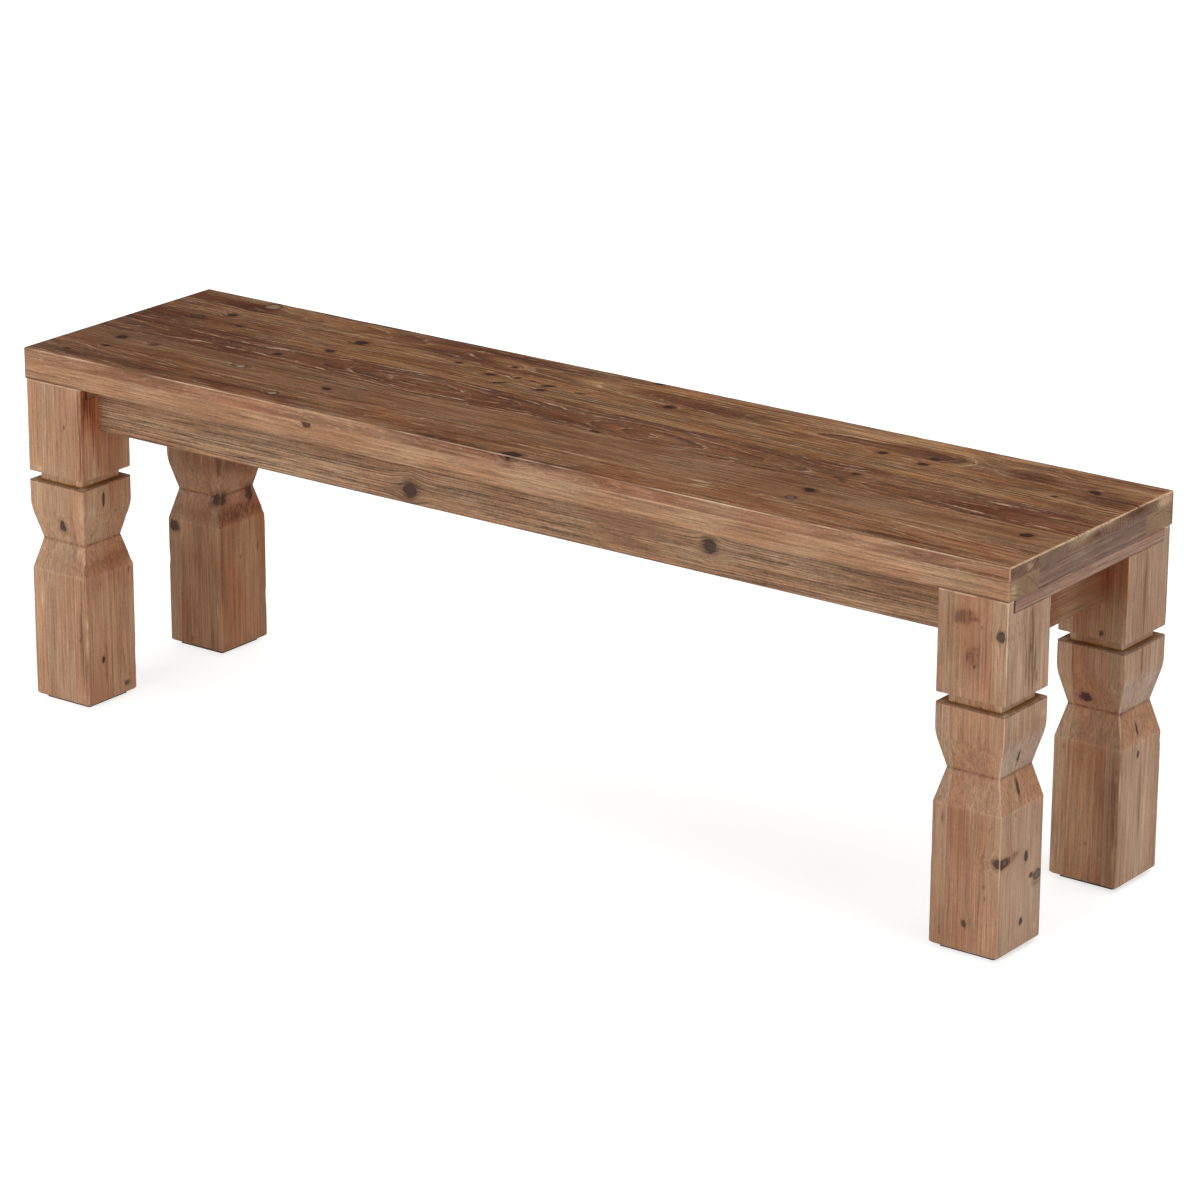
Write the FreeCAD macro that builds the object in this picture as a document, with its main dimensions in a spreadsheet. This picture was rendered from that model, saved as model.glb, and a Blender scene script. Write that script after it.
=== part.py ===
# Wooden bench: a two-layer laminated seat on four laminated, profiled legs, in millimetres.
# The origin is on the floor under the middle of the bench. +X points to its right end,
# +Y to its back and +Z up.

import FreeCAD
import Part
import Sketcher
import math
import os

document = FreeCAD.newDocument("Bench")

# Driving sizes
SIZES = {
    "bench_length": 1422,
    "bench_depth": 346,
    "bench_height": 457,
    "seat_thickness": 40,
    "seat_arris": 2,
    "plank_thickness": 15,
    "plank_one": 66,
    "plank_two": 67,
    "plank_three": 74,
    "plank_four": 69,
    "edge_rail": 60,
    "end_rail": 90,
    "centre_rail": 60,
    "overhang": 1.5,
    "leg_width": 89,
    "leg_arris": 2.5,
    "outer_layer": 20,
    "core_layer": 49,
    "shoulder": 171.5,
    "waist": 211,
    "waist_inset": 10.3,
    "knee": 252,
    "knee_reach": 9,
    "cup_top": 287.5,
    "block_bottom": 298.5,
    "neck_inset": 10,
    "edge_break": 1,
    "foot_break": 2,
    "batten": 15,
    "batten_setback": 12.5,
    "batten_gap": 1.5,
    "board_arris": 1.5,
    "apron_height": 60,
    "apron": 22,
    "brace_height": 45,
    "corner_block": 40,
    "corner_block_thickness": 26,
    "corner_block_drop": 2,
    "corner_flat": 12,
    "foot_pad": 5,
    "foot_pad_inset": 9,
    "bolt": 8,
    "bolt_in_leg": 40,
    "bolt_point": 8,
    "bolt_end": 4,
    "washer": 24,
    "washer_thickness": 1.6,
    "nut_flats": 13,
    "nut_thickness": 6.5,
    "screw": 5,
    "screw_head": 9,
    "screw_head_depth": 2.5,
    "screw_in_rail": 17,
    "counterbore": 10,
    "leg_screw": 60,
    "core_screw_from_end": 37.5,
    "core_screw_from_face": 31.5,
    "outer_screw_from_end": 12.5,
    "outer_screw_from_face": 65.5,
    "batten_screw": 35,
    "inboard_screw_from_end": 77.5,
    "inboard_screw_from_middle": 28,
    "outboard_screw_from_end": 16.5,
    "outboard_screw_from_middle": 45,
    "apron_screw": 45,
    "near_screw_from_middle": 160,
    "far_screw_from_middle": 480,
    "brace_screw": 42,
    "brace_screw_from_middle": 40,
    "block_screw": 25,
    "block_screw_from_corner": 79,
    "block_screw_rise": 10,
    "block_screw_seat": 8,
    "dowel": 8,
    "dowel_length": 50,
    "dowel_low": 15,
    "dowel_high": 37,
    "brace_dowel": 32,
    "brace_dowel_in_apron": 14,
    "brace_dowel_from_edge": 12,
}
sheet = document.addObject("Spreadsheet::Sheet", "size")
for row, (alias, value) in enumerate(SIZES.items(), start=1):
    sheet.set(f"A{row}", alias)
    sheet.set(f"B{row}", str(value))
    sheet.setAlias(f"B{row}", alias)
document.recompute()

# Planes worked out from the sizes. Legs, corners and fasteners are drawn at the front right
# corner of the bench and mirrored to the other three, so y is measured there as -(...).
END = "(size.bench_length / 2)"
BACK = "(size.bench_depth / 2)"
SEAT_TOP = "size.bench_height"
SEAT_BOTTOM = "(size.bench_height - size.seat_thickness)"
PLANK_BOTTOM = "(size.bench_height - size.plank_thickness)"
LEG_OUTER_X = f"({END} - size.overhang)"
LEG_INNER_X = f"({LEG_OUTER_X} - size.leg_width)"
LEG_MIDDLE_X = f"({LEG_OUTER_X} - size.leg_width / 2)"
CORE_OUTER_X = f"({LEG_OUTER_X} - size.outer_layer)"
CORE_INNER_X = f"({CORE_OUTER_X} - size.core_layer)"
LEG_OUTER_Y = f"({BACK} - size.overhang)"
LEG_INNER_Y = f"({LEG_OUTER_Y} - size.leg_width)"
LEG_MIDDLE_Y = f"({LEG_OUTER_Y} - size.leg_width / 2)"
BATTEN_BOTTOM = f"({SEAT_BOTTOM} - size.batten)"
BATTEN_END_Y = f"({LEG_OUTER_Y} - size.batten_setback - size.batten_gap)"
APRON_BOTTOM = f"({SEAT_BOTTOM} - size.apron_height)"
END_APRON_BOTTOM = f"({BATTEN_BOTTOM} - size.apron_height)"
APRON_INNER_X = f"({LEG_MIDDLE_X} - size.apron / 2)"
APRON_OUTER_X = f"({LEG_MIDDLE_X} + size.apron / 2)"
APRON_INNER_Y = f"({LEG_MIDDLE_Y} - size.apron / 2)"
APRON_OUTER_Y = f"({LEG_MIDDLE_Y} + size.apron / 2)"
BRACE_BOTTOM = f"({SEAT_BOTTOM} - size.brace_height)"
BLOCK_TOP = f"({BATTEN_BOTTOM} - size.corner_block_drop)"
BLOCK_BOTTOM = f"({BLOCK_TOP} - size.corner_block)"
BLOCK_MIDDLE = f"({BLOCK_TOP} - size.corner_block / 2)"

# Directions for a piece drawn along +Z, as a turn's axis and angle
UP = (0, 0, 1), 0
DOWN = (1, 0, 0), 180
FORWARD = (1, 0, 0), 90
BACKWARD = (1, 0, 0), -90
RIGHT = (0, 1, 0), 90
LEFT = (0, 1, 0), -90
OUT_OF_CORNER = (-1, -1, 0), 90
QUARTER_TURN = (0, 0, 1), 90
EIGHTH_TURN = (0, 0, 1), 45

# Mirror planes, by their normals
ACROSS = (1, 0, 0)
THROUGH = (0, 1, 0)


# Drawing

def number(expression):
    return float(sheet.evalExpression(expression))


def bind(thing, **expressions):
    for name, expression in expressions.items():
        thing.setExpression(name, expression)


def span(planes):
    """The distance between two planes."""
    return f"(({planes[1]}) - ({planes[0]}))"


def place(thing, x="0", y="0", z="0", direction=UP):
    """Turn a thing about its own origin and put that origin at x, y, z."""
    axis, angle = direction
    turn = FreeCAD.Rotation(FreeCAD.Vector(*axis), angle)
    thing.Placement = FreeCAD.Placement(FreeCAD.Vector(), turn)
    for letter, expression in zip("xyz", (x, y, z)):
        thing.setExpression(f"Placement.Base.{letter}", expression)
    return thing


def new_body(label):
    body = document.addObject("PartDesign::Body", label)
    body.Label = label
    return body


def new_sketch(body, name, height="0"):
    """A sketch on its body's ground plane, raised to a height."""
    sketch = body.newObject("Sketcher::SketchObject", name)
    plane = next(item for item in body.Origin.OriginFeatures if item.Role == "XY_Plane")
    sketch.AttachmentSupport = [(plane, "")]
    sketch.MapMode = "FlatFace"
    sketch.setExpression("AttachmentOffset.Base.z", height)
    return sketch


def line(sketch, start, end):
    segment = Part.LineSegment(FreeCAD.Vector(*start, 0), FreeCAD.Vector(*end, 0))
    return sketch.addGeometry(segment, False)


def constrain(sketch, kind, *items):
    return sketch.addConstraint(Sketcher.Constraint(kind, *items))


def measure(sketch, name, kind, items, expression):
    """A dimension of a sketch, driven by the sheet."""
    index = constrain(sketch, kind, *items, number(expression))
    sketch.renameConstraint(index, name)
    sketch.setExpression(f"Constraints.{name}", expression)


def rectangle(body, name, length, width):
    """A rectangle with one corner on the body's origin."""
    sketch = new_sketch(body, name)
    long, wide = number(length), number(width)
    corners = [(0, 0), (long, 0), (long, wide), (0, wide)]
    for step in range(4):
        line(sketch, corners[step], corners[(step + 1) % 4])
    for step in range(4):
        constrain(sketch, "Coincident", step, 2, (step + 1) % 4, 1)
        constrain(sketch, "Vertical" if step % 2 else "Horizontal", step)
    constrain(sketch, "Coincident", 0, 1, -1, 1)
    measure(sketch, "length", "DistanceX", (0, 1, 0, 2), length)
    measure(sketch, "width", "DistanceY", (1, 1, 1, 2), width)
    return sketch


def rounded_square(body, name, height, half_width, radius):
    """A square with round corners, centred on the body's axis."""
    sketch = new_sketch(body, name, height)
    half, bend = number(half_width), number(radius)
    reach = half - bend
    sides = [
        ((-reach, -half), (reach, -half)),
        ((half, -reach), (half, reach)),
        ((reach, half), (-reach, half)),
        ((-half, reach), (-half, -reach)),
    ]
    centres = [(reach, -reach), (reach, reach), (-reach, reach), (-reach, -reach)]
    for step in range(4):
        line(sketch, *sides[step])
        circle = Part.Circle(FreeCAD.Vector(*centres[step], 0), FreeCAD.Vector(0, 0, 1), bend)
        start = (step - 1) * math.pi / 2
        sketch.addGeometry(Part.ArcOfCircle(circle, start, start + math.pi / 2), False)
    for side in (0, 2, 4, 6):
        corner = side + 1
        constrain(sketch, "Tangent", side, 2, corner, 1)
        constrain(sketch, "Tangent", corner, 2, (side + 2) % 8, 1)
    constrain(sketch, "Horizontal", 0)
    for corner in (3, 5, 7):
        constrain(sketch, "Equal", 1, corner)
    constrain(sketch, "Symmetric", 3, 3, 7, 3, -1, 1)
    measure(sketch, "radius", "Radius", (1,), radius)
    measure(sketch, "reach_x", "DistanceX", (-1, 1, 3, 3), f"{half_width} - {radius}")
    measure(sketch, "reach_y", "DistanceY", (-1, 1, 3, 3), f"{half_width} - {radius}")
    return sketch


def pad(body, name, sketch, length):
    feature = body.newObject("PartDesign::Pad", name)
    feature.Profile = sketch
    bind(feature, Length=length)
    body.Tip = feature
    return feature


def loft(body, name, sketches):
    """A straight-sided solid through a stack of sketches."""
    feature = body.newObject("PartDesign::AdditiveLoft", name)
    feature.Profile = sketches[0]
    feature.Sections = sketches[1:]
    feature.Ruled = True
    body.Tip = feature
    return feature


def edges_along(shape, grain):
    names = []
    for index, edge in enumerate(shape.Edges, start=1):
        run = edge.Vertexes[-1].Point - edge.Vertexes[0].Point
        if abs(run.normalize().dot(FreeCAD.Vector(*grain))) > 0.99:
            names.append(f"Edge{index}")
    return names


def board(label, x, y, z, grain):
    """A board between three pairs of planes, with the arrises along its grain rounded."""
    body = new_body(label)
    outline = rectangle(body, label + "_outline", span(x), span(y))
    solid = pad(body, label + "_solid", outline, span(z))
    place(body, x[0], y[0], z[0])
    document.recompute()
    arrises = body.newObject("PartDesign::Fillet", label + "_arrises")
    arrises.Base = (solid, edges_along(solid.Shape, grain))
    bind(arrises, Radius="size.board_arris")
    body.Tip = arrises
    return body


def slab(label, x, y, z):
    """A plain block of space, to divide or to cut a piece with."""
    box = document.addObject("Part::Box", label)
    bind(box, Length=span(x), Width=span(y), Height=span(z))
    return place(box, x[0], y[0], z[0])


def cylinder(label, diameter, height):
    rod = document.addObject("Part::Cylinder", label)
    bind(rod, Radius=f"{diameter} / 2", Height=height)
    return rod


def cone(label, bottom, top, height):
    taper = document.addObject("Part::Cone", label)
    bind(taper, Radius1=f"{bottom} / 2", Radius2=f"{top} / 2", Height=height)
    return taper


def fuse(label, pieces):
    union = document.addObject("Part::MultiFuse", label)
    union.Shapes = pieces
    return union


def group(label, pieces):
    """Separate solids under one label."""
    compound = document.addObject("Part::Compound", label)
    compound.Label = label
    compound.Links = pieces
    return compound


def cut(label, base, tools):
    """A piece with the shapes of all the tools taken out of it."""
    result = document.addObject("Part::Cut", label)
    result.Label = label
    result.Base = base
    result.Tool = group(label + "_tools", tools)
    return result


def common(label, base, space):
    """The part of a piece that lies in a block of space."""
    result = document.addObject("Part::Common", label)
    result.Label = label
    result.Base = base
    result.Tool = space
    return result


def mirrored(label, source, normal):
    copy = document.addObject("Part::Mirroring", label)
    copy.Label = label
    copy.Source = source
    copy.Normal = normal
    return copy


def at_corners(name, piece):
    """A front right piece and its mirror images, labelled by corner."""
    piece.Label = name.format("front_right")
    front_left = mirrored(name.format("front_left"), piece, ACROSS)
    back_right = mirrored(name.format("back_right"), piece, THROUGH)
    back_left = mirrored(name.format("back_left"), front_left, THROUGH)
    return [piece, front_left, back_right, back_left]


def copies(piece):
    """A front right fastener and its mirror images: front left, back right, back left."""
    return at_corners(piece.Name + "_{}", piece)


def everywhere(sets):
    return [piece for corners in sets for piece in corners]


def front_ones(sets):
    return [piece for corners in sets for piece in corners[:2]]


def right_ones(sets):
    return [piece for corners in sets for piece in corners[::2]]


def masters(sets):
    return [corners[0] for corners in sets]


# Fasteners

def screw(name, length, countersunk):
    """A wood screw along +Z. Zero is the rim of a countersunk head or the seat of a flat one."""
    shank = cylinder(name + "_shank", "size.screw", f"{length} - size.screw")
    tip = cone(name + "_tip", "size.screw", "size.screw / 4", "size.screw")
    place(tip, z=f"{length} - size.screw")
    if countersunk:
        head = cone(name + "_head", "size.screw_head", "size.screw", "size.screw_head_depth")
    else:
        head = cylinder(name + "_head", "size.screw_head", "size.screw_head_depth")
        place(head, z="-size.screw_head_depth")
    return fuse(name, [shank, tip, head])


def dowel(name, length, *spot):
    return copies(place(cylinder(name, "size.dowel", length), *spot))


def leg_screw(layer):
    x = f"{LEG_OUTER_X} - size.{layer}_screw_from_end"
    y = f"-({LEG_OUTER_Y} - size.{layer}_screw_from_face)"
    driven = screw(f"leg_screw_{layer}", "size.leg_screw", True)
    return copies(place(driven, x, y, SEAT_BOTTOM, DOWN))


def batten_screw(side):
    x = f"{LEG_OUTER_X} - size.{side}_screw_from_end"
    y = f"-size.{side}_screw_from_middle"
    driven = screw(f"batten_screw_{side}", "size.batten_screw", True)
    return copies(place(driven, x, y, BATTEN_BOTTOM, UP))


def apron_screw(name, length, x, y, underside):
    """An upright screw into the seat's frame, and the counterbore below its head."""
    seat = f"({SEAT_BOTTOM} + size.screw_in_rail - {length})"
    driven = place(screw(name, length, False), x, y, seat)
    bore = cylinder(name + "_bore", "size.counterbore", f"{seat} - {underside} + 1")
    place(bore, x, y, f"{underside} - 1")
    return driven, bore


def block_screw(name, rise, direction, opposite, x, y):
    """A screw through a corner block into an apron, and the counterbore behind its head."""
    height = f"{BLOCK_MIDDLE} + {rise}"
    driven = place(screw(name, "size.block_screw", False), x, y, height, direction)
    bore = cylinder(name + "_bore", "size.counterbore", "size.corner_block_thickness")
    place(bore, x, y, height, opposite)
    return copies(driven), bore


leg_screws = [leg_screw("core"), leg_screw("outer")]
batten_screws = [batten_screw("inboard"), batten_screw("outboard")]

apron_screws = []
apron_bores = []
for place_name in ("near", "far"):
    along = f"size.{place_name}_screw_from_middle"
    driven, bore = apron_screw(f"apron_screw_{place_name}", "size.apron_screw", along,
                               f"-{LEG_MIDDLE_Y}", APRON_BOTTOM)
    apron_screws.append(copies(driven))
    apron_bores.append(copies(bore))

driven, bore = apron_screw("brace_screw", "size.brace_screw", "0", "-size.brace_screw_from_middle",
                           BRACE_BOTTOM)
brace_screws = [driven, mirrored("brace_screw_back", driven, THROUGH)]
brace_bores = [bore, mirrored("brace_bore_back", bore, THROUGH)]

seat_y = f"-({APRON_INNER_Y} - size.block_screw_seat)"
seat_x = f"{APRON_INNER_X} - size.block_screw_seat"
away_x = f"{APRON_INNER_X} - size.block_screw_from_corner"
away_y = f"-({APRON_INNER_Y} - size.block_screw_from_corner)"
front_block_screws = []
end_block_screws = []
block_bores = []
for level, rise in {"low": "-size.block_screw_rise", "high": "size.block_screw_rise"}.items():
    driven, bore = block_screw(f"front_block_screw_{level}", rise, FORWARD, BACKWARD, away_x, seat_y)
    front_block_screws.append(driven)
    block_bores.append(bore)
    driven, bore = block_screw(f"end_block_screw_{level}", rise, RIGHT, LEFT, seat_x, away_y)
    end_block_screws.append(driven)
    block_bores.append(bore)

front_dowels = []
end_dowels = []
for level in ("low", "high"):
    rise = f"size.dowel_{level}"
    front_dowels.append(dowel(
        f"front_dowel_{level}", "size.dowel_length", f"{LEG_INNER_X} - size.dowel_length / 2",
        f"-{LEG_MIDDLE_Y}", f"{APRON_BOTTOM} + {rise}", RIGHT))
    end_dowels.append(dowel(
        f"end_dowel_{level}", "size.dowel_length", LEG_MIDDLE_X,
        f"-({LEG_INNER_Y} - size.dowel_length / 2)", f"{END_APRON_BOTTOM} + {rise}", FORWARD))

brace_dowels = []
brace_dowel_y = f"-({APRON_INNER_Y} - size.brace_dowel + size.brace_dowel_in_apron)"
levels = {"low": "size.brace_dowel_from_edge", "high": "size.brace_height - size.brace_dowel_from_edge"}
for level, rise in levels.items():
    peg = cylinder(f"brace_dowel_{level}", "size.dowel", "size.brace_dowel")
    place(peg, "0", brace_dowel_y, f"{BRACE_BOTTOM} + {rise}", FORWARD)
    brace_dowels.append([peg, mirrored(f"brace_dowel_{level}_back", peg, THROUGH)])

# A hanger bolt stands square on the flat of each leg's inner corner and passes the corner block.
FLAT_X = f"{LEG_INNER_X} + size.corner_flat / 2"
FLAT_Y = f"-({LEG_INNER_Y} + size.corner_flat / 2)"
WASHER_SEAT = "size.corner_block_thickness"
NUT_SEAT = f"({WASHER_SEAT} + size.washer_thickness)"
BOLT_TOP = f"({NUT_SEAT} + size.nut_thickness + size.bolt_end)"


def on_corner_flat(piece):
    return place(piece, FLAT_X, FLAT_Y, BLOCK_MIDDLE, OUT_OF_CORNER)


in_wood = "(size.bolt_in_leg - size.bolt_point)"
rod = place(cylinder("bolt_rod", "size.bolt", f"{in_wood} + {BOLT_TOP}"), z=f"-{in_wood}")
point = place(cone("bolt_point", "size.bolt / 4", "size.bolt", "size.bolt_point"), z="-size.bolt_in_leg")
hanger_bolt = on_corner_flat(fuse("hanger_bolt", [rod, point]))
hanger_bolts = copies(hanger_bolt)

disc = cylinder("washer_disc", "size.washer", "size.washer_thickness")
disc = on_corner_flat(group("washer_seated", [place(disc, z=WASHER_SEAT)]))
washers = copies(cut("washer", disc, [hanger_bolt]))

prism = document.addObject("Part::Prism", "nut_prism")
prism.Polygon = 6
bind(prism, Circumradius="size.nut_flats / sqrt(3)", Height="size.nut_thickness")
prism = on_corner_flat(group("nut_seated", [place(prism, z=NUT_SEAT)]))
nuts = copies(cut("nut", prism, [hanger_bolt]))


# Seat: five planks on a frame of rails, all with one rounded outline

seat = new_body("seat_blank")
seat_outline = rectangle(seat, "seat_outline", "size.bench_length", "size.bench_depth")
seat_solid = pad(seat, "seat_solid", seat_outline, "size.seat_thickness")
place(seat, f"-{END}", f"-{BACK}", SEAT_BOTTOM)
document.recompute()
seat_arrises = seat.newObject("PartDesign::Fillet", "seat_arrises")
seat_arrises.Base = (seat_solid, ["Edge1"])
seat_arrises.UseAllEdges = True
bind(seat_arrises, Radius="size.seat_arris")
seat.Tip = seat_arrises

whole_length = (f"-{END}", END)
top_layer = (PLANK_BOTTOM, SEAT_TOP)
frame_layer = (SEAT_BOTTOM, PLANK_BOTTOM)

planks = []
joint = f"-{BACK}"
for count, width in enumerate(["size.plank_one", "size.plank_two", "size.plank_three", "size.plank_four", None], 1):
    far = f"{joint} + {width}" if width else BACK
    space = slab(f"plank_space_{count}", whole_length, (joint, far), top_layer)
    planks.append(common(f"seat_plank_{count}", seat, space))
    joint = far

RAIL_INNER_Y = f"({BACK} - size.edge_rail)"
between_rails = (f"-{RAIL_INNER_Y}", RAIL_INNER_Y)
space = slab("front_rail_space", whole_length, (f"-{BACK}", f"-{RAIL_INNER_Y}"), frame_layer)
blank = common("front_rail_blank", seat, space)
front_rail = cut("seat_edge_rail_front", blank, front_ones(apron_screws))
back_rail = mirrored("seat_edge_rail_back", front_rail, THROUGH)

space = slab("end_rail_space", (f"{END} - size.end_rail", END), between_rails, frame_layer)
blank = common("end_rail_blank", seat, space)
right_rail = cut("seat_end_rail_right", blank, right_ones(batten_screws))
left_rail = mirrored("seat_end_rail_left", right_rail, ACROSS)

half = "size.centre_rail / 2"
blank = slab("centre_rail_blank", (f"-{half}", half), between_rails, frame_layer)
centre_rail = cut("seat_centre_rail", blank, brace_screws)


# Battens, aprons and brace

blank = board("batten_blank", (LEG_INNER_X, LEG_OUTER_X), (f"-{BATTEN_END_Y}", BATTEN_END_Y),
              (BATTEN_BOTTOM, SEAT_BOTTOM), THROUGH)
right_batten = cut("end_batten_right", blank, right_ones(leg_screws + batten_screws))
left_batten = mirrored("end_batten_left", right_batten, ACROSS)

blank = board("front_apron_blank", (f"-{LEG_INNER_X}", LEG_INNER_X), (f"-{APRON_OUTER_Y}", f"-{APRON_INNER_Y}"),
              (APRON_BOTTOM, SEAT_BOTTOM), ACROSS)
front_apron = cut("front_apron", blank, front_ones(front_dowels + front_block_screws + apron_screws + apron_bores)
                  + masters(brace_dowels))
back_apron = mirrored("back_apron", front_apron, THROUGH)

blank = board("end_apron_blank", (APRON_INNER_X, APRON_OUTER_X), (f"-{LEG_INNER_Y}", LEG_INNER_Y),
              (END_APRON_BOTTOM, BATTEN_BOTTOM), THROUGH)
right_apron = cut("end_apron_right", blank, right_ones(end_dowels + end_block_screws))
left_apron = mirrored("end_apron_left", right_apron, ACROSS)

half = "size.apron / 2"
blank = board("brace_blank", (f"-{half}", half), (f"-{APRON_INNER_Y}", APRON_INNER_Y),
              (BRACE_BOTTOM, SEAT_BOTTOM), THROUGH)
brace = cut("centre_brace", blank, brace_screws + brace_bores + everywhere(brace_dowels))


# Legs: one profile on all four sides, divided into three glued layers

def leg_blank():
    body = new_body("leg_blank")
    full = "size.leg_width / 2"

    def section(name, height, inset="0"):
        return rounded_square(body, name, height, f"({full} - {inset})", "size.leg_arris")

    # Above the waist the side leans back to the full width and bends upright in a parabola.
    slope = "(size.waist_inset / (size.knee - size.waist))"
    bend = []
    for step, share in enumerate((1, 0.75, 0.5, 0.25, 0)):
        height = f"size.knee + size.knee_reach * ({1 - 2 * share})"
        inset = f"({slope} * size.knee_reach * {share * share})"
        bend.append(section(f"knee_{step}", height, inset))
    below = [
        section("foot_edge", "size.foot_pad", "size.foot_break"),
        section("foot", "size.foot_pad + size.foot_break"),
        section("shoulder_line", "size.shoulder"),
        section("waist_line", "size.waist", "size.waist_inset"),
    ]
    above = [
        section("cup_edge", "size.cup_top - size.edge_break"),
        section("cup_rim", "size.cup_top", "size.edge_break"),
    ]
    loft(body, "lower_leg", below + bend + above)
    neck = section("neck_section", "size.cup_top", "size.neck_inset")
    pad(body, "neck", neck, "size.block_bottom - size.cup_top")
    block = [
        section("block_rim", "size.block_bottom", "size.edge_break"),
        section("block_edge", "size.block_bottom + size.edge_break"),
        section("block_top", SEAT_BOTTOM),
    ]
    loft(body, "upper_block", block)
    return place(body, LEG_MIDDLE_X, f"-{LEG_MIDDLE_Y}")


# The batten lies in a notch in the leg's top, stopped short of the outer face.
notch = slab("batten_notch", (f"{LEG_INNER_X} - 1", f"{LEG_OUTER_X} + 1"),
             (f"-({LEG_OUTER_Y} - size.batten_setback)", f"-{LEG_INNER_Y} + 1"),
             (BATTEN_BOTTOM, f"{SEAT_BOTTOM} + 1"))

# The inner corner is cut to a flat for the hanger bolt, by a block turned to 45 degrees.
flat_cutter = document.addObject("Part::Box", "flat_cutter")
bind(flat_cutter, Length="4 * size.corner_flat", Width="4 * size.corner_flat",
     Height=f"{BATTEN_BOTTOM} - {APRON_BOTTOM}")
place(flat_cutter, f"{FLAT_X} - sqrt(2) * size.corner_flat", f"{FLAT_Y} - sqrt(2) * size.corner_flat",
      APRON_BOTTOM, EIGHTH_TURN)

leg_tools = [notch, flat_cutter, hanger_bolt] + masters(leg_screws + front_dowels + end_dowels)
leg = cut("leg_shaped", leg_blank(), leg_tools)
layer_planes = {
    "inner_layer": (f"{LEG_INNER_X} - 1", CORE_INNER_X),
    "core": (CORE_INNER_X, CORE_OUTER_X),
    "outer_layer": (CORE_OUTER_X, f"{LEG_OUTER_X} + 1"),
}
leg_layers = []
for layer, x in layer_planes.items():
    space = slab(f"{layer}_space", x, (f"-{LEG_OUTER_Y} - 1", f"-{LEG_INNER_Y} + 1"), ("0", SEAT_TOP))
    leg_layers += at_corners("leg_{}_" + layer, common(f"{layer}_shaped", leg, space))


# Corner blocks and foot pads

def corner_block():
    """A bevelled block, drawn from the corner where the inner faces of two aprons meet."""
    body = new_body("corner_block_blank")
    sketch = new_sketch(body, "corner_block_outline")
    apron_to_leg = f"({APRON_INNER_X} - {LEG_INNER_X})"
    near = f"(2 * {apron_to_leg} - size.corner_flat)"
    far = f"({near} + sqrt(2) * size.corner_block_thickness)"
    close, distant = number(near), number(far)
    corners = [(close, 0), (distant, 0), (0, distant), (0, close)]
    for step in range(4):
        line(sketch, corners[step], corners[(step + 1) % 4])
        constrain(sketch, "PointOnObject", step, 1, -1 if step < 2 else -2)
    for step in range(4):
        constrain(sketch, "Coincident", step, 2, (step + 1) % 4, 1)
    measure(sketch, "near_x", "DistanceX", (-1, 1, 0, 1), near)
    measure(sketch, "far_x", "DistanceX", (-1, 1, 1, 1), far)
    measure(sketch, "far_y", "DistanceY", (-1, 1, 2, 1), far)
    measure(sketch, "near_y", "DistanceY", (-1, 1, 3, 1), near)
    pad(body, "corner_block_solid", sketch, "size.corner_block")
    return place(body, APRON_INNER_X, f"-{APRON_INNER_Y}", BLOCK_BOTTOM, QUARTER_TURN)


block_tools = block_bores + masters(front_block_screws + end_block_screws) + [hanger_bolt]
corner_blocks = at_corners("corner_block_{}", cut("corner_block", corner_block(), block_tools))

pad_body = new_body("foot_pad_body")
pad_section = rounded_square(pad_body, "foot_pad_section", "0", "(size.leg_width / 2 - size.foot_pad_inset)",
                             "size.leg_arris")
pad(pad_body, "foot_pad_solid", pad_section, "size.foot_pad")
place(pad_body, LEG_MIDDLE_X, f"-{LEG_MIDDLE_Y}")
foot_pads = at_corners("foot_pad_{}", pad_body)


# Each node is one piece, or one group of identical fasteners.
nodes = planks + [front_rail, back_rail, left_rail, right_rail, centre_rail]
nodes += [left_batten, right_batten, front_apron, back_apron, left_apron, right_apron, brace]
nodes += leg_layers + corner_blocks + foot_pads
nodes += [
    group("apron_dowels", everywhere(front_dowels + end_dowels)),
    group("brace_dowels", everywhere(brace_dowels)),
    group("hanger_bolts", hanger_bolts),
    group("hanger_bolt_washers", washers),
    group("hanger_bolt_nuts", nuts),
    group("corner_block_screws", everywhere(front_block_screws + end_block_screws)),
    group("leg_screws", everywhere(leg_screws)),
    group("batten_screws", everywhere(batten_screws)),
    group("apron_screws", everywhere(apron_screws)),
    group("brace_screws", brace_screws),
]
document.recompute()

for thing in document.Objects:
    if "Invalid" in thing.State or "Error" in thing.State:
        raise RuntimeError(f"{thing.Label}: {thing.State}")
for node in nodes:
    if node.Shape.isNull() or not node.Shape.isValid():
        raise RuntimeError(f"{node.Label} has no valid shape")

os.makedirs("parts", exist_ok=True)
for node in nodes:
    node.Shape.exportStep(f"parts/{node.Label}.step")
    box = node.Shape.BoundBox
    spans = f"{box.XLength:.1f} x {box.YLength:.1f} x {box.ZLength:.1f}"
    print(f"{node.Label}: {len(node.Shape.Solids)} solid(s), {spans}, {node.Shape.Volume / 1000:.1f} cm3")
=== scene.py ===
# %% [markdown]
# # Dressing a wooden bench
#
# The bench is two layers of boards on four glued and profiled legs. Its sizes come from the
# imported model, which is the frame that every piece has to fit. What Blender adds is the wood:
# boards with worn arrises, growth rings that bend round knots, end grain where a board is cut
# across, and pale streaks where the brushed grain has caught the light finish.
#
# The frame is loaded first, and its box is kept.

import itertools
import math

import bpy
import numpy as np
from mathutils import Matrix, Vector


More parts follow.
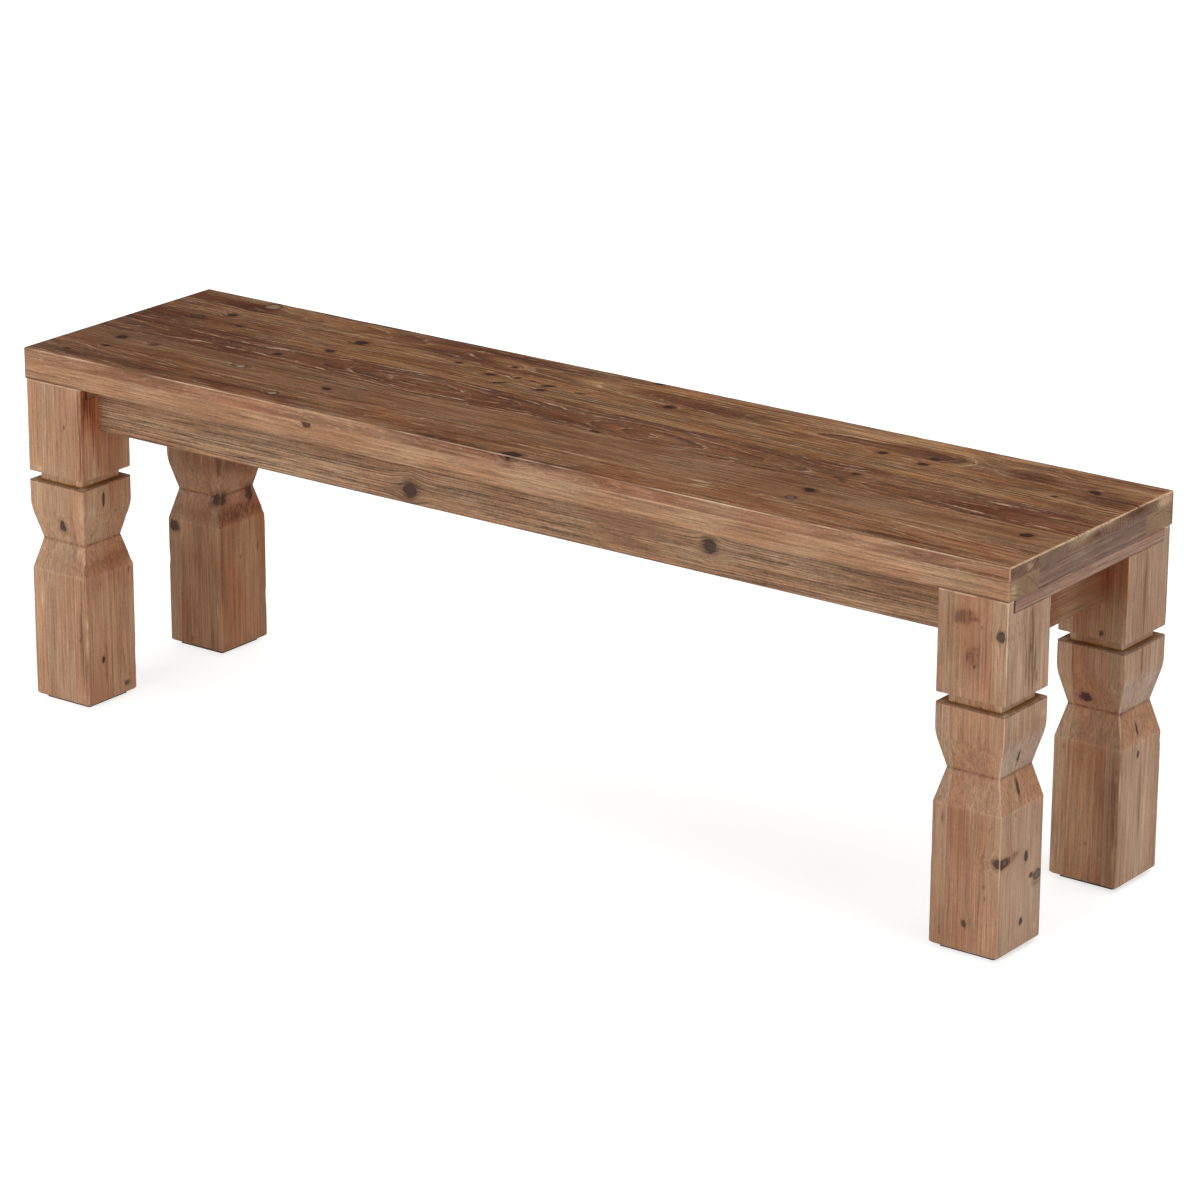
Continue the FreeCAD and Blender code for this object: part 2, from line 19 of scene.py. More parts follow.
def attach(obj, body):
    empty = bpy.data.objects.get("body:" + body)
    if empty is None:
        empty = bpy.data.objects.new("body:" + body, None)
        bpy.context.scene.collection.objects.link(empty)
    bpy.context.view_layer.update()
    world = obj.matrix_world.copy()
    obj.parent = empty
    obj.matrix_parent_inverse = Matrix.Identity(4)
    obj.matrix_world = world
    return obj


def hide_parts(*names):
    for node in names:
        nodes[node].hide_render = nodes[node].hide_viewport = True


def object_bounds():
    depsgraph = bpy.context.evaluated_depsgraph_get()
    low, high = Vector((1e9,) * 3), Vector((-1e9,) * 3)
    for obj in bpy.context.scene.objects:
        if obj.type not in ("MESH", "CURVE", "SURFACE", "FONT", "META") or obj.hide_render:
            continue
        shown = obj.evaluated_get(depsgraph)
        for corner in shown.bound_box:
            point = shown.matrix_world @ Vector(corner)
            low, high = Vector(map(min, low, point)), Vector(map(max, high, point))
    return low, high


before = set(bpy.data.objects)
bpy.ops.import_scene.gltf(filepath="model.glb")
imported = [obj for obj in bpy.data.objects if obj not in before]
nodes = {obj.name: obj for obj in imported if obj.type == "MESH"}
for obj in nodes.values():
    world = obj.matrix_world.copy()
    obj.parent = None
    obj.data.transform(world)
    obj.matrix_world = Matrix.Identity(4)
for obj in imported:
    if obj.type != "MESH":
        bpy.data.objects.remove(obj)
cad_box = [list(corner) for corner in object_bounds()]
MM = 0.001
END, BACK, SEAT_TOP = (round(side / MM, 3) for side in cad_box[1])
print(f"{len(nodes)} CAD nodes; half length {END}, half depth {BACK}, height {SEAT_TOP} mm")

# %% [markdown]
# ## Camera
#
# A camera can be placed by eye, or worked out from edges whose real length is known. The second
# way was used: the bench's straight edges, marked in the photograph in pixels, give the focal
# length, the place and the three turns together, and the remaining error is a third of a pixel.

# %% Camera
PICTURE = 1200
FOCAL_PIXELS = 4710.89
SENSOR = 36
CAMERA_AT = (3.168077, -4.240483, 2.034761)
CAMERA_TILT, CAMERA_ROLL, CAMERA_TURN = 1.241869, 0.00456, 0.634981

lens = bpy.data.cameras.new("camera")
lens.sensor_width = SENSOR
lens.sensor_fit = "HORIZONTAL"
lens.lens = FOCAL_PIXELS / PICTURE * SENSOR
lens.clip_end = 100
camera = bpy.data.objects.new("camera", lens)
bpy.context.scene.collection.objects.link(camera)
camera.matrix_world = (Matrix.Translation(CAMERA_AT) @ Matrix.Rotation(CAMERA_TURN, 4, "Z")
                       @ Matrix.Rotation(CAMERA_TILT, 4, "X") @ Matrix.Rotation(CAMERA_ROLL, 4, "Z"))
bpy.context.scene.camera = camera
print(f"a {lens.lens:.1f} mm lens, {Vector(CAMERA_AT).length:.2f} m from the bench")

# %% [markdown]
# ## Nodes without clutter
#
# Every finish here is a tree of shader nodes. Writing each link out makes long lists, so one small
# class adds a node and feeds its inputs at once. An input may be a number, a colour or the output
# of another node, and the class tells which it is.

# %% A wiring helper


def linear(red, green, blue):
    """A display colour, 0 to 255, as the linear colour that a shader works with."""
    shares = np.array([red, green, blue]) / 255
    straight = np.where(shares <= 0.04045, shares / 12.92, ((shares + 0.055) / 1.055) ** 2.4)
    return (*straight.tolist(), 1.0)


class Wiring:
    """Adds nodes to one tree. Each method returns the output that carries its result."""

    def __init__(self, tree):
        self.tree = tree

    def feed(self, socket, value):
        """Links an output to the socket, or sets a plain value on it."""
        if isinstance(value, bpy.types.NodeSocket):
            self.tree.links.new(value, socket)
        else:
            socket.default_value = value

    def node(self, kind, inputs=None, **settings):
        """Adds one node, sets it up and feeds its inputs. This one returns the node itself."""
        made = self.tree.nodes.new(kind)
        for name, value in settings.items():
            setattr(made, name, value)
        for key, value in (inputs or {}).items():
            self.feed(made.inputs[key], value)
        return made

    def maths(self, operation, *values, clamp=False):
        """One operation on numbers. Clamped, its result stays between 0 and 1."""
        inputs = dict(enumerate(values))
        return self.node("ShaderNodeMath", inputs, operation=operation, use_clamp=clamp).outputs[0]

    def chain(self, operation, values, clamp):
        """The same operation on several values in turn. Only its last result is clamped."""
        result, *others = values
        for number, other in enumerate(others, 1):
            result = self.maths(operation, result, other, clamp=clamp and number == len(others))
        return result

    def times(self, *values, clamp=False):
        """The product of the values."""
        return self.chain("MULTIPLY", values, clamp)

    def plus(self, *values, clamp=False):
        """The sum of the values."""
        return self.chain("ADD", values, clamp)

    def times_plus(self, first, second, third):
        """The first value times the second, plus the third."""
        return self.maths("MULTIPLY_ADD", first, second, third)

    def vector(self, operation, first, second, output="Vector"):
        """One operation on two vectors. A length comes out as Value."""
        made = self.node("ShaderNodeVectorMath", {0: first, 1: second}, operation=operation)
        return made.outputs[output]

    def ease(self, value, start, stop, low=0.0, high=1.0):
        """Goes smoothly from low to high as the value goes from start to stop."""
        inputs = {"Value": value, "From Min": start, "From Max": stop, "To Min": low, "To Max": high}
        return self.node("ShaderNodeMapRange", inputs, interpolation_type="SMOOTHSTEP").outputs["Result"]

    def noise(self, place, detail=2.0, roughness=0.5, scale=1.0):
        """Smooth noise, 0 to 1 and mostly near the middle."""
        inputs = {"Vector": place, "Scale": scale, "Detail": detail, "Roughness": roughness}
        return self.node("ShaderNodeTexNoise", inputs).outputs["Fac"]

    def combine(self, x, y, z):
        return self.node("ShaderNodeCombineXYZ", {0: x, 1: y, 2: z}).outputs[0]

    def separate(self, place):
        return self.node("ShaderNodeSeparateXYZ", {0: place}).outputs

    def mix(self, share, first, second, blend="MIX"):
        """The first colour with a share of the second, or with the second blended in."""
        made = self.node("ShaderNodeMix", data_type="RGBA", blend_type=blend)
        self.feed(made.inputs[0], share)
        self.feed(made.inputs[6], first)
        self.feed(made.inputs[7], second)
        return made.outputs[2]


def new_group(name, inputs, outputs):
    """An empty node group with named sockets, its wiring, and its two end nodes."""
    group = bpy.data.node_groups.new(name, "ShaderNodeTree")
    for side, sockets in (("INPUT", inputs), ("OUTPUT", outputs)):
        for socket, kind in sockets.items():
            group.interface.new_socket(socket, in_out=side, socket_type="NodeSocket" + kind)
    start = group.nodes.new("NodeGroupInput")
    stop = group.nodes.new("NodeGroupOutput")
    return group, Wiring(group), start.outputs, stop.inputs


print("wiring ready")

# %% [markdown]
# ## Brushed and stained softwood
#
# Softwood grows a pale, soft band each spring and a narrow dark, hard one each summer. Brushing
# wears the soft band down, stain darkens it, and a light wax stays in the groove beside the hard
# band. So one number, the ring count, places nearly everything: its fraction says how far through
# a year the wood is. Slow noise along the rings makes the broad light and dark bands, noise drawn
# out along the grain makes the fibres, and knots, sawn ends and worn arrises are masks on top.
# It is one node group, so that every board gets its own colours and amounts from the same recipe.

# %% The wood group
WOOD_INPUTS = {
    "Rings": "Float", "Pitch": "Float", "Boldness": "Float", "Greying and glow": "Float", "Grain": "Vector",
    "Knot": "Float", "Knot tone": "Float", "Arris": "Float", "Shade": "Float", "Cut": "Float",
    "Light wood": "Color", "Dark wood": "Color", "Late wood": "Color", "Pale wood": "Color",
    "Sawn end": "Color", "Knot wood": "Color", "Lines": "Float", "Pale lines": "Float",
    "Broad bands": "Float", "Line width": "Float", "Contrast": "Float", "Seed": "Float",
    "End lines": "Float",
}
wood_group, wire, given, result = new_group(
    "Brushed wood", WOOD_INPUTS, {"Color": "Color", "Roughness": "Float", "Height": "Float"})
along, across, deep = wire.separate(given["Grain"])
seed = given["Seed"]


def drawn_out(along_share, across_share=1.0, seed_share=1.0):
    """A place to read noise at: the place in the board, shrunk by one share along the grain and by
    another across it, so that the noise comes out long. The seed gives each board wood of its own."""
    return wire.combine(wire.times(along, along_share), wire.times(across, across_share),
                        wire.times_plus(deep, across_share, wire.times(seed, seed_share)))


def by_ring(rings, along_share, ring_share, seed_shift=0.0):
    """A place to read noise at that changes from ring to ring and slowly along the board."""
    return wire.combine(wire.times(along, along_share), wire.times(rings, ring_share),
                        wire.plus(seed, seed_shift))


print(len(WOOD_INPUTS), "inputs")

# %% [markdown]
# Fibres are noise drawn out along the grain. Across a sawn end the same noise turns into pores by
# itself. Finer fibres, long strands, broad streaks, short specks and even grit lie over them.
#
# No ring is smooth: it wanders over a few centimetres, and its edge frays along the fibres. The
# whole part of the ring count numbers the year, and a random number for each year makes some
# rings strong and others faint.

# %% Fibres and rings
fibres = wire.noise(drawn_out(0.03), detail=3.0, roughness=0.5, scale=0.36)
fine = wire.noise(drawn_out(0.05, seed_share=-1.0), detail=2.0, roughness=0.6, scale=1.2)
specks = wire.noise(drawn_out(0.2, seed_share=3.0), detail=2.0, roughness=0.6, scale=0.42)
strands = wire.noise(drawn_out(0.012, seed_share=2.0), detail=2.0, roughness=0.7, scale=0.55)
streaks = wire.ease(wire.noise(drawn_out(0.016, 0.17), detail=2.0, roughness=0.6), 0.38, 0.62)
grit = wire.noise(given["Grain"], detail=2.0, roughness=0.6, scale=0.3)
cloud_place = wire.combine(wire.times(along, 0.012), wire.times(across, 0.03), seed)
cloud = wire.noise(cloud_place, detail=1.0)

wander = wire.maths("SUBTRACT", wire.noise(drawn_out(0.014, 0.08), detail=3.0, roughness=0.55), 0.5)
rings = wire.times_plus(wander, 0.7, given["Rings"])
rings = wire.times_plus(fibres, 0.34, rings)
season = wire.maths("FRACT", rings)
year = wire.plus(wire.maths("FLOOR", rings), seed)
luck = wire.node("ShaderNodeTexWhiteNoise", {"W": year}, noise_dimensions="1D").outputs["Value"]
print("fibres and rings:", len(wood_group.nodes), "nodes")

# %% [markdown]
# Late wood darkens through the year and stops at a sharp edge. Its dark line and the wax line past
# the edge hardly widen, so they stay fine where the rings spread out into a figure. Wax lies just
# past that edge, in patches along the board, and as flecks anywhere.

# %% Late wood and wax
pitch = given["Pitch"]
width = wire.maths("MINIMUM", wire.times_plus(pitch, 0.05, given["Line width"]), wire.times(pitch, 0.42))
before_edge = wire.maths("DIVIDE", wire.times(wire.maths("SUBTRACT", 1.0, season), pitch), width)
past_edge = wire.maths("DIVIDE", wire.times(season, pitch), width)
dark_line = wire.ease(before_edge, 0.6, 1.3, 1.0, 0.0)
late = wire.maths("MAXIMUM", dark_line, wire.ease(season, 0.35, 1.0, 0.0, 0.75))
breaks = wire.noise(by_ring(rings, 0.016, 1.2, 7.0), detail=3.0, roughness=0.6)
late = wire.times(late, wire.ease(before_edge, 0.0, 0.2), wire.ease(luck, 0.1, 0.9, 0.2, 1.1),
                  wire.ease(fibres, 0.3, 0.6, 0.55, 1.0), wire.ease(breaks, 0.36, 0.6, 0.3, 1.15),
                  given["Boldness"])

wax_line = wire.times(wire.ease(past_edge, 0.0, 0.2), wire.ease(past_edge, 0.6, 1.4, 1.0, 0.0))
patches = wire.noise(by_ring(rings, 0.03, 0.9), detail=4.0, roughness=0.7)
wax = wire.times(wax_line, wire.ease(patches, 0.45, 0.68, 0.02, 1.0), given["Boldness"],
                 wire.ease(fibres, 0.3, 0.55, 0.5, 1.1))
wax = wire.maths("MAXIMUM", wax, wire.times(wire.ease(specks, 0.6, 0.74), 0.4))
wax = wire.times(wax, given["Pale lines"], clamp=True)
print("late wood and wax:", len(wood_group.nodes), "nodes")

# %% [markdown]
# The colour starts from a light and a dark wood. Broad bands follow the rings and drift slowly along
# the board. Late wood, unevenness and wax lie over them. The shade input darkens a place along its
# fibres where it is above zero, and bares the pale wood where it is below.

# %% Plain wood
bands = wire.ease(wire.noise(by_ring(rings, 0.0045, 0.33), detail=2.0), 0.36, 0.66)
tone = wire.times_plus(bands, given["Broad bands"], wire.times(cloud, 0.35))
tone = wire.plus(tone, given["Shade"], clamp=True)
colour = wire.mix(tone, given["Light wood"], given["Dark wood"])
colour = wire.mix(wire.times(late, given["Lines"], clamp=True), colour, given["Late wood"])
spread = wire.times(given["Contrast"], wire.ease(given["Boldness"], 0.1, 0.8, 0.45, 1.0))
uneven = wire.plus(
    wire.ease(fibres, 0.34, 0.66, -0.4, 0.4), wire.ease(fine, 0.3, 0.7, -0.5, 0.5),
    wire.times_plus(streaks, 0.6, -0.3), wire.ease(grit, 0.32, 0.68, -0.3, 0.3),
    wire.ease(specks, 0.26, 0.42, -0.6, 0.0), wire.ease(strands, 0.32, 0.68, -0.95, 0.95))
grey = wire.times_plus(uneven, spread, 1.0)
grey = wire.combine(grey, grey, grey)
colour = wire.mix(1.0, colour, grey, blend="MULTIPLY")
colour = wire.mix(wax, colour, given["Pale wood"])

crackle = wire.ease(wire.times_plus(fine, 0.35, wire.times(fibres, 0.65)), 0.42, 0.58, 0.25, 1.8)
darkened = wire.ease(wire.times(given["Shade"], crackle), 0.3, 1.4, 0.0, 0.95)
colour = wire.mix(darkened, colour, given["Late wood"])
bare = wire.times(wire.ease(given["Shade"], -0.35, -0.9), wire.ease(fibres, 0.35, 0.6))
colour = wire.mix(wire.times(bare, 0.75), colour, given["Pale wood"])
print("plain wood:", len(wood_group.nodes), "nodes")

# %% [markdown]
# A sawn end drinks stain: its rings stand out on a golden ground. A knot has a heart with rings of
# its own, a broken dark rim, and stained wood around it. Worn arrises show the pale wood under the
# stain.

# %% Sawn ends, knots and arrises
golden = wire.mix(wire.ease(given["Shade"], 0.0, -1.0, 0.0, 0.6), given["Sawn end"], given["Pale wood"])
end_dark = wire.mix(0.4, given["Late wood"], given["Knot wood"])
end_rings = wire.mix(wire.times(late, given["End lines"], clamp=True), golden, end_dark)
end_rings = wire.mix(wire.ease(given["Shade"], 0.0, 0.9, 0.0, 0.7), end_rings, given["Late wood"])
end_rings = wire.mix(0.3, end_rings, grey, blend="MULTIPLY")
colour = wire.mix(wire.ease(given["Cut"], 0.2, 0.8), colour, end_rings)

wobble = wire.plus(given["Knot"], wire.ease(fine, 0.25, 0.75, -0.16, 0.16))
halo = wire.times(wire.ease(wobble, 0.9, 2.2, 0.55, 0.0), given["Knot tone"])
colour = wire.mix(halo, colour, given["Late wood"])
heart_rings = wire.ease(wire.maths("SINE", wire.times(wobble, 19.0)), -1.0, 1.0)
heart_rings = wire.mix(heart_rings, (0.5, 0.5, 0.5, 1), (1, 1, 1, 1))
heart_dark = wire.mix(1.0, given["Knot wood"], heart_rings, blend="MULTIPLY")
heart_pale = wire.mix(0.45, given["Pale wood"], given["Late wood"])
heart = wire.mix(wire.ease(given["Knot tone"], 0.3, 0.85), heart_pale, heart_dark)
inside = wire.ease(wobble, 0.72, 1.12, 1.0, 0.0)
rim = wire.times(wire.ease(wobble, 0.6, 0.92), wire.ease(wobble, 1.0, 1.3, 1.0, 0.0),
                 wire.ease(fibres, 0.38, 0.56, 0.25, 0.8))
colour = wire.mix(wire.times(inside, 0.9), colour, heart)
colour = wire.mix(rim, colour, wire.mix(1.0, given["Knot wood"], (0.4, 0.4, 0.4, 1), blend="MULTIPLY"))

worn = wire.times(wire.ease(given["Arris"], 0.5, 1.9, 1.0, 0.0), wire.ease(cloud, 0.38, 0.62, 0.1, 0.8))
worn = wire.times(worn, wire.ease(given["Cut"], 0.0, 1.0, 1.0, 1.3), clamp=True)
colour = wire.mix(worn, colour, given["Pale wood"])
print("with knots and arrises:", len(wood_group.nodes), "nodes")

# %% [markdown]
# The stain is redder in some places and olive in others. The greying and glow input makes the wood
# greyer and paler above zero and redder and fuller below it: on the legs it is painted light, a
# painted sheen and a warm painted glow. Late wood and fibres stand up a little from the brushing, and
# a knot lies low.

# %% Greying and glow
mottle = wire.noise(drawn_out(0.007, 0.024, 1.7), detail=2.0, roughness=0.6)
# Greying and glow: above zero the wood turns greyer and paler, below zero redder and fuller. On the legs it
# is painted light, a painted sheen and a warm painted glow.
glow = wire.maths("MAXIMUM", wire.times(given["Greying and glow"], -1.0), 0.0)
fullness = wire.times_plus(given["Greying and glow"], -0.4, wire.ease(mottle, 0.34, 0.66, 1.05, 0.95))
tinting = {
    "Color": colour,
    "Hue": wire.times_plus(glow, -0.02, wire.ease(mottle, 0.34, 0.66, 0.4955, 0.5045)),
    "Saturation": wire.times_plus(glow, -0.12, fullness),
    "Value": wire.times_plus(wire.maths("ABSOLUTE", given["Greying and glow"]), 0.1,
                             wire.ease(mottle, 0.34, 0.66, 0.93, 1.07))}
colour = wire.node("ShaderNodeHueSaturation", tinting).outputs["Color"]

height = wire.times_plus(late, 0.5, wire.times(fibres, 0.6))
height = wire.maths("SUBTRACT", height, wire.times(wire.ease(wobble, 0.9, 1.2, 1.0, 0.0), 0.35))
wire.feed(result["Color"], colour)
wire.feed(result["Roughness"], wire.times_plus(fibres, -0.18, wire.times_plus(late, -0.1, 0.82)))
wire.feed(result["Height"], height)
print(len(wood_group.nodes), "nodes in the wood group")

# %% [markdown]
# ## Palettes
#
# The boards are one species under one stain, but the photograph shows differences: the top is dark
# and red, the edge under it tan, the legs tan and pink, the right end grey. A palette is six colours
# and seven amounts, and starts from one of two sets: the stained top, or the skin of the rest. Each
# colour is the wood's own, in plain daylight, except the glow palette: its redder, darker colour is
# painted shade and warm bounced light for the end aprons and the left batten under the seat.

# %% Palettes
STAIN = dict(late=(74, 42, 27), pale=(208, 174, 140), sawn=(121, 96, 79), knot=(54, 29, 20), lines=0.9,
             end_lines=0.65, wax=0.9, bands=0.5, width=1.8, contrast=0.4, shine=0.04)
SKIN = dict(pale=(206, 174, 142), knot=(74, 54, 45), end_lines=1.3, bands=0.3, width=0.8, contrast=0.24,
            shine=0.2)
PALETTES = {
    "brown top": dict(STAIN, light=(156, 111, 78), dark=(112, 71, 48), wax=0.78),
    "olive top": dict(STAIN, light=(152, 111, 80), dark=(120, 80, 56), lines=0.7, wax=0.55),
    "red top": dict(STAIN, light=(142, 98, 69), dark=(106, 64, 43), wax=0.95, bands=0.7),
    "gold top": dict(STAIN, light=(164, 119, 80), dark=(112, 71, 47), wax=0.6),
    "bold top": dict(STAIN, light=(176, 131, 91), dark=(98, 56, 38), wax=0.7, bands=0.7),
    "edge": dict(SKIN, light=(158, 121, 91), dark=(139, 102, 74), late=(112, 77, 55), sawn=(133, 104, 77),
                 lines=0.36, bands=0.16, wax=0.4, contrast=0.26),
    "leg": dict(SKIN, light=(162, 127, 99), dark=(143, 106, 79), late=(106, 74, 54), sawn=(160, 118, 72),
                lines=0.28, wax=0.2, contrast=0.18),
    "pink leg": dict(SKIN, light=(163, 121, 91), dark=(143, 99, 72), late=(104, 68, 50), sawn=(160, 118, 72),
                     lines=0.28, wax=0.16, contrast=0.18),
    "grey": dict(SKIN, light=(126, 100, 84), dark=(104, 78, 65), late=(84, 62, 50), pale=(166, 144, 126),
                 sawn=(112, 90, 68), lines=0.6, wax=0.4),
    "apron": dict(SKIN, light=(148, 115, 87), dark=(122, 89, 65), late=(80, 57, 43), pale=(186, 156, 128),
                  sawn=(140, 112, 86), lines=0.9, wax=0.5, contrast=0.4),
    # painted shade and warm bounced light: the redder, darker wood of the boards under the seat
    "glow": dict(SKIN, light=(142, 98, 68), dark=(112, 73, 48), late=(112, 62, 34), sawn=(140, 102, 66),
                 lines=0.6, wax=0.2),
    "batten": dict(SKIN, light=(152, 120, 102), dark=(132, 98, 82), late=(108, 78, 64), sawn=(140, 108, 84),
                   lines=0.5, wax=0.35),
    "plain": dict(SKIN, light=(196, 166, 128), dark=(176, 142, 104), late=(156, 118, 82),
                  pale=(214, 190, 156), sawn=(184, 150, 108), lines=0.5, wax=0.1),
}
BRUSHED_DEPTH = 0.0004


def wood_shader(wire, palette, seed, facts, tint=1.0):
    """Puts the wood group, a bump and a Principled shader into a material. Facts are the group's
    inputs that vary over the board: rings, knots, arrises and so on. Tint makes the board itself
    lighter or darker than its palette."""
    look = PALETTES[palette]
    light, dark = (tuple(part * tint for part in look[name]) for name in ("light", "dark"))
    inputs = {
        **facts, "Light wood": linear(*light), "Dark wood": linear(*dark),
        "Late wood": linear(*look["late"]), "Pale wood": linear(*look["pale"]),
        "Sawn end": linear(*look["sawn"]), "Knot wood": linear(*look["knot"]), "Lines": look["lines"],
        "Pale lines": look["wax"], "Broad bands": look["bands"], "Line width": look["width"],
        "Contrast": look["contrast"], "End lines": look["end_lines"], "Seed": float(seed),
    }
    wood = wire.node("ShaderNodeGroup", node_tree=wood_group)
    for key, value in inputs.items():
        wire.feed(wood.inputs[key], value)
    bump = wire.node("ShaderNodeBump", {
        "Height": wood.outputs["Height"], "Strength": 0.5, "Distance": BRUSHED_DEPTH})
    shader = wire.node("ShaderNodeBsdfPrincipled", {
        "Base Color": wood.outputs["Color"], "Roughness": wood.outputs["Roughness"],
        "Normal": bump.outputs["Normal"], "Specular IOR Level": look["shine"]})
    wire.node("ShaderNodeOutputMaterial", {"Surface": shader.outputs[0]})


def blank_material(name):
    """A material with an empty tree, and its wiring."""
    material = bpy.data.materials.new(name)
    material.use_nodes = True
    material.node_tree.nodes.clear()
    return material, Wiring(material.node_tree)


def board_material(name, palette, seed, tint):
    """Wood for a board whose mesh carries its growth as attributes."""
    material, wire = blank_material(name)

    def carried(attribute):
        return wire.node("ShaderNodeAttribute", attribute_name=attribute).outputs["Vector"]

    rings, boldness, greying_and_glow = wire.separate(carried("growth"))
    knot, knot_tone, arris = wire.separate(carried("facts"))
    shade, cut, pitch = wire.separate(carried("marks"))
    wood_shader(wire, palette, seed, {
        "Rings": rings, "Pitch": pitch, "Boldness": boldness, "Greying and glow": greying_and_glow, "Grain": carried("grain"),
        "Knot": knot, "Knot tone": knot_tone, "Arris": arris, "Shade": shade, "Cut": cut}, tint)
    return material


print(len(PALETTES), "palettes")

# %% [markdown]
# ## How a board grows
#
# A tree adds one ring a year round its pith, and a board is a slice of that. So the ring count at
# any place is its distance from the pith divided by the width of a ring. Where the pith lies well
# to one side, a face shows straight lines. Where it lies under the face and comes nearer or goes
# away along the board, the same sum gives the pointed arches and long ovals of flat-sawn wood.
# Worked out in three dimensions, it also puts the right arcs on the sawn ends.
#
# A knot is a branch. Rings part round it, so the place that is looked up moves towards its middle.

# %% Growth


def through(points, at):
    """A smooth curve through (place, value) points: a cubic on each stretch, whose slope at a point
    is that of its neighbours. It stays level past both ends."""
    places, values = np.array(points, float).T
    if len(places) == 1:
        return np.full(np.shape(at), values[0])
    slopes = np.gradient(values, places)
    left = np.clip(np.searchsorted(places, at) - 1, 0, len(places) - 2)
    width = places[left + 1] - places[left]
    share = np.clip((at - places[left]) / width, 0, 1)
    rest = 1 - share
    return (values[left] * rest**2 * (1 + 2 * share) + values[left + 1] * share**2 * (1 + 2 * rest)
            + width * share * rest * (slopes[left] * rest - slopes[left + 1] * share))


def drift(first, second, seed, first_length, second_length):
    """Smooth unevenness, about -1 to 1: the sum of six waves in different directions, the longest
    as long as the given lengths, each shorter one weaker."""
    waves = np.random.default_rng(seed)
    total = np.zeros(np.broadcast(first, second).shape)
    for step in range(6):
        turn, start = waves.uniform(0, math.tau, 2)
        shrink = 1.6 ** step
        run = first / first_length * math.cos(turn) + second / second_length * math.sin(turn)
        total = total + 0.65 ** step * np.sin(math.tau * run * shrink + start)
    return total / 2


# For the way a branch runs, which of a, b, c count in full; a ball is a knot that shows on two faces
KNOT_THROUGH = {"b": (1, 0, 1), "c": (1, 1, 0), "ball": (1, 1, 1)}
# Further than a knot or an arris shows, and a start for the ring count that keeps it above zero
FAR = 9.0
FIRST_RING = 40


def grow(board, a, b, c):
    """What the wood is at a, b, c (mm, a along the grain): the ring count, the place bent round
    knots, how near the nearest knot is in knot radii, and that knot's tone.

    near = length((place - middle) / radius), turned in the a, b plane by the knot's turn, with the
    direction the branch runs in counted by its depth instead, and a wobble round the rim.
    bent place = place - 0.8 (place - middle) exp(-(near / 2)^2).
    rings = distance from the pith / ring width + drift - swell exp(-(near / 2.2)^2)."""
    spot = np.stack([a, b, c])
    ways = [1] * a.ndim
    near_all = np.full(a.shape, FAR)
    tone_all = np.full(a.shape, 1.0)
    bent = spot.copy()
    swelling = np.zeros(a.shape)
    for number, knot in enumerate(board.get("knots", [])):
        middle = np.array(knot["at"], float).reshape(3, *ways)
        free = np.array(KNOT_THROUGH[knot.get("through", "c")], float).reshape(3, *ways)
        reach = np.where(free > 0, 1 / knot["radius"], 1 / knot.get("depth", 1000))
        reach[0] /= knot.get("stretch", 1.3)
        away = spot - middle
        turn = math.radians(knot.get("turn", 0))
        turned = np.stack([away[0] * math.cos(turn) + away[1] * math.sin(turn),
                           away[1] * math.cos(turn) - away[0] * math.sin(turn), away[2]])
        parts = turned * reach
        angle = np.arctan2((parts[1:] * free[1:]).sum(0), parts[0])
        rim = 1 + 0.1 * np.cos(2 * angle + number) + 0.07 * np.cos(5 * angle + 2 * number)
        near = np.sqrt((parts**2).sum(0)) * rim
        give = np.exp(-((near / 2) ** 2))
        bent[1:] -= 0.8 * give * away[1:] * free[1:]
        swelling += knot.get("swell", 1.0) * np.exp(-((near / 2.2) ** 2))
        closer = near < near_all
        near_all = np.where(closer, near, near_all)
        tone_all = np.where(closer, knot.get("tone", 1.0), tone_all)
    pith_b = through(board["pith_b"], a)
    pith_c = through(board["pith_c"], a)
    rings = np.hypot(bent[1] - pith_b, bent[2] - pith_c) / board["ring"]
    steady = board.get("steady", 1.0)
    rings += 0.6 * steady * drift(a, bent[1] + bent[2], board["seed"], 700, 60)
    rings += 0.22 * steady * drift(a, bent[1] + bent[2], board["seed"] + 1, 160, 24)
    return rings + FIRST_RING - swelling, bent, near_all, tone_all


def boldness(board, a, b, c):
    """How clearly the rings show: the board's own amount, with slow unevenness, 0.1 to 1.5, and
    less on the long upright edges of the seat, which were planed and not brushed."""
    uneven = 0.8 + 0.4 * drift(a, b + c, board["seed"] + 2, 420, 45)
    planed = np.interp(BACK - np.abs(b), (0.5, 3.0), (board.get("edge_bold", 1.0), 1.0))
    return np.clip(through(board.get("bold", [(0, 1.0)]), a) * uneven * planed, 0.1, 1.5)


NARROWEST_PITCH, WIDEST_PITCH, SHORTEST_STEP = 0.5, 60, 0.05


def ring_pitch(rings, places):
    """The distance between rings on a surface, in mm: one over the slope of the ring count along
    both ways of its grid, between the narrowest and the widest pitch."""
    up = np.linalg.norm(np.gradient(places, axis=0), axis=-1)
    slope_up = np.gradient(rings, axis=0) / np.maximum(up, SHORTEST_STEP)
    ahead, behind = np.roll(places, -1, 1), np.roll(places, 1, 1)
    around = np.linalg.norm(ahead - behind, axis=-1)
    slope_around = (np.roll(rings, -1, 1) - np.roll(rings, 1, 1)) / np.maximum(around, SHORTEST_STEP)
    return 1 / np.clip(np.hypot(slope_up, slope_around), 1 / WIDEST_PITCH, 1 / NARROWEST_PITCH)


def shading(board, a, b, c):
    """Local darkening, above zero, or bareness, below it: a bell for each mark,
    strength exp(-length((place - middle) / size)^2)."""
    total = np.zeros(a.shape)
    for at_a, at_b, at_c, size_a, size_b, size_c, strength in board.get("marks", []):
        away = ((a - at_a) / size_a) ** 2 + ((b - at_b) / size_b) ** 2 + ((c - at_c) / size_c) ** 2
        total += strength * np.exp(-away)
    return total


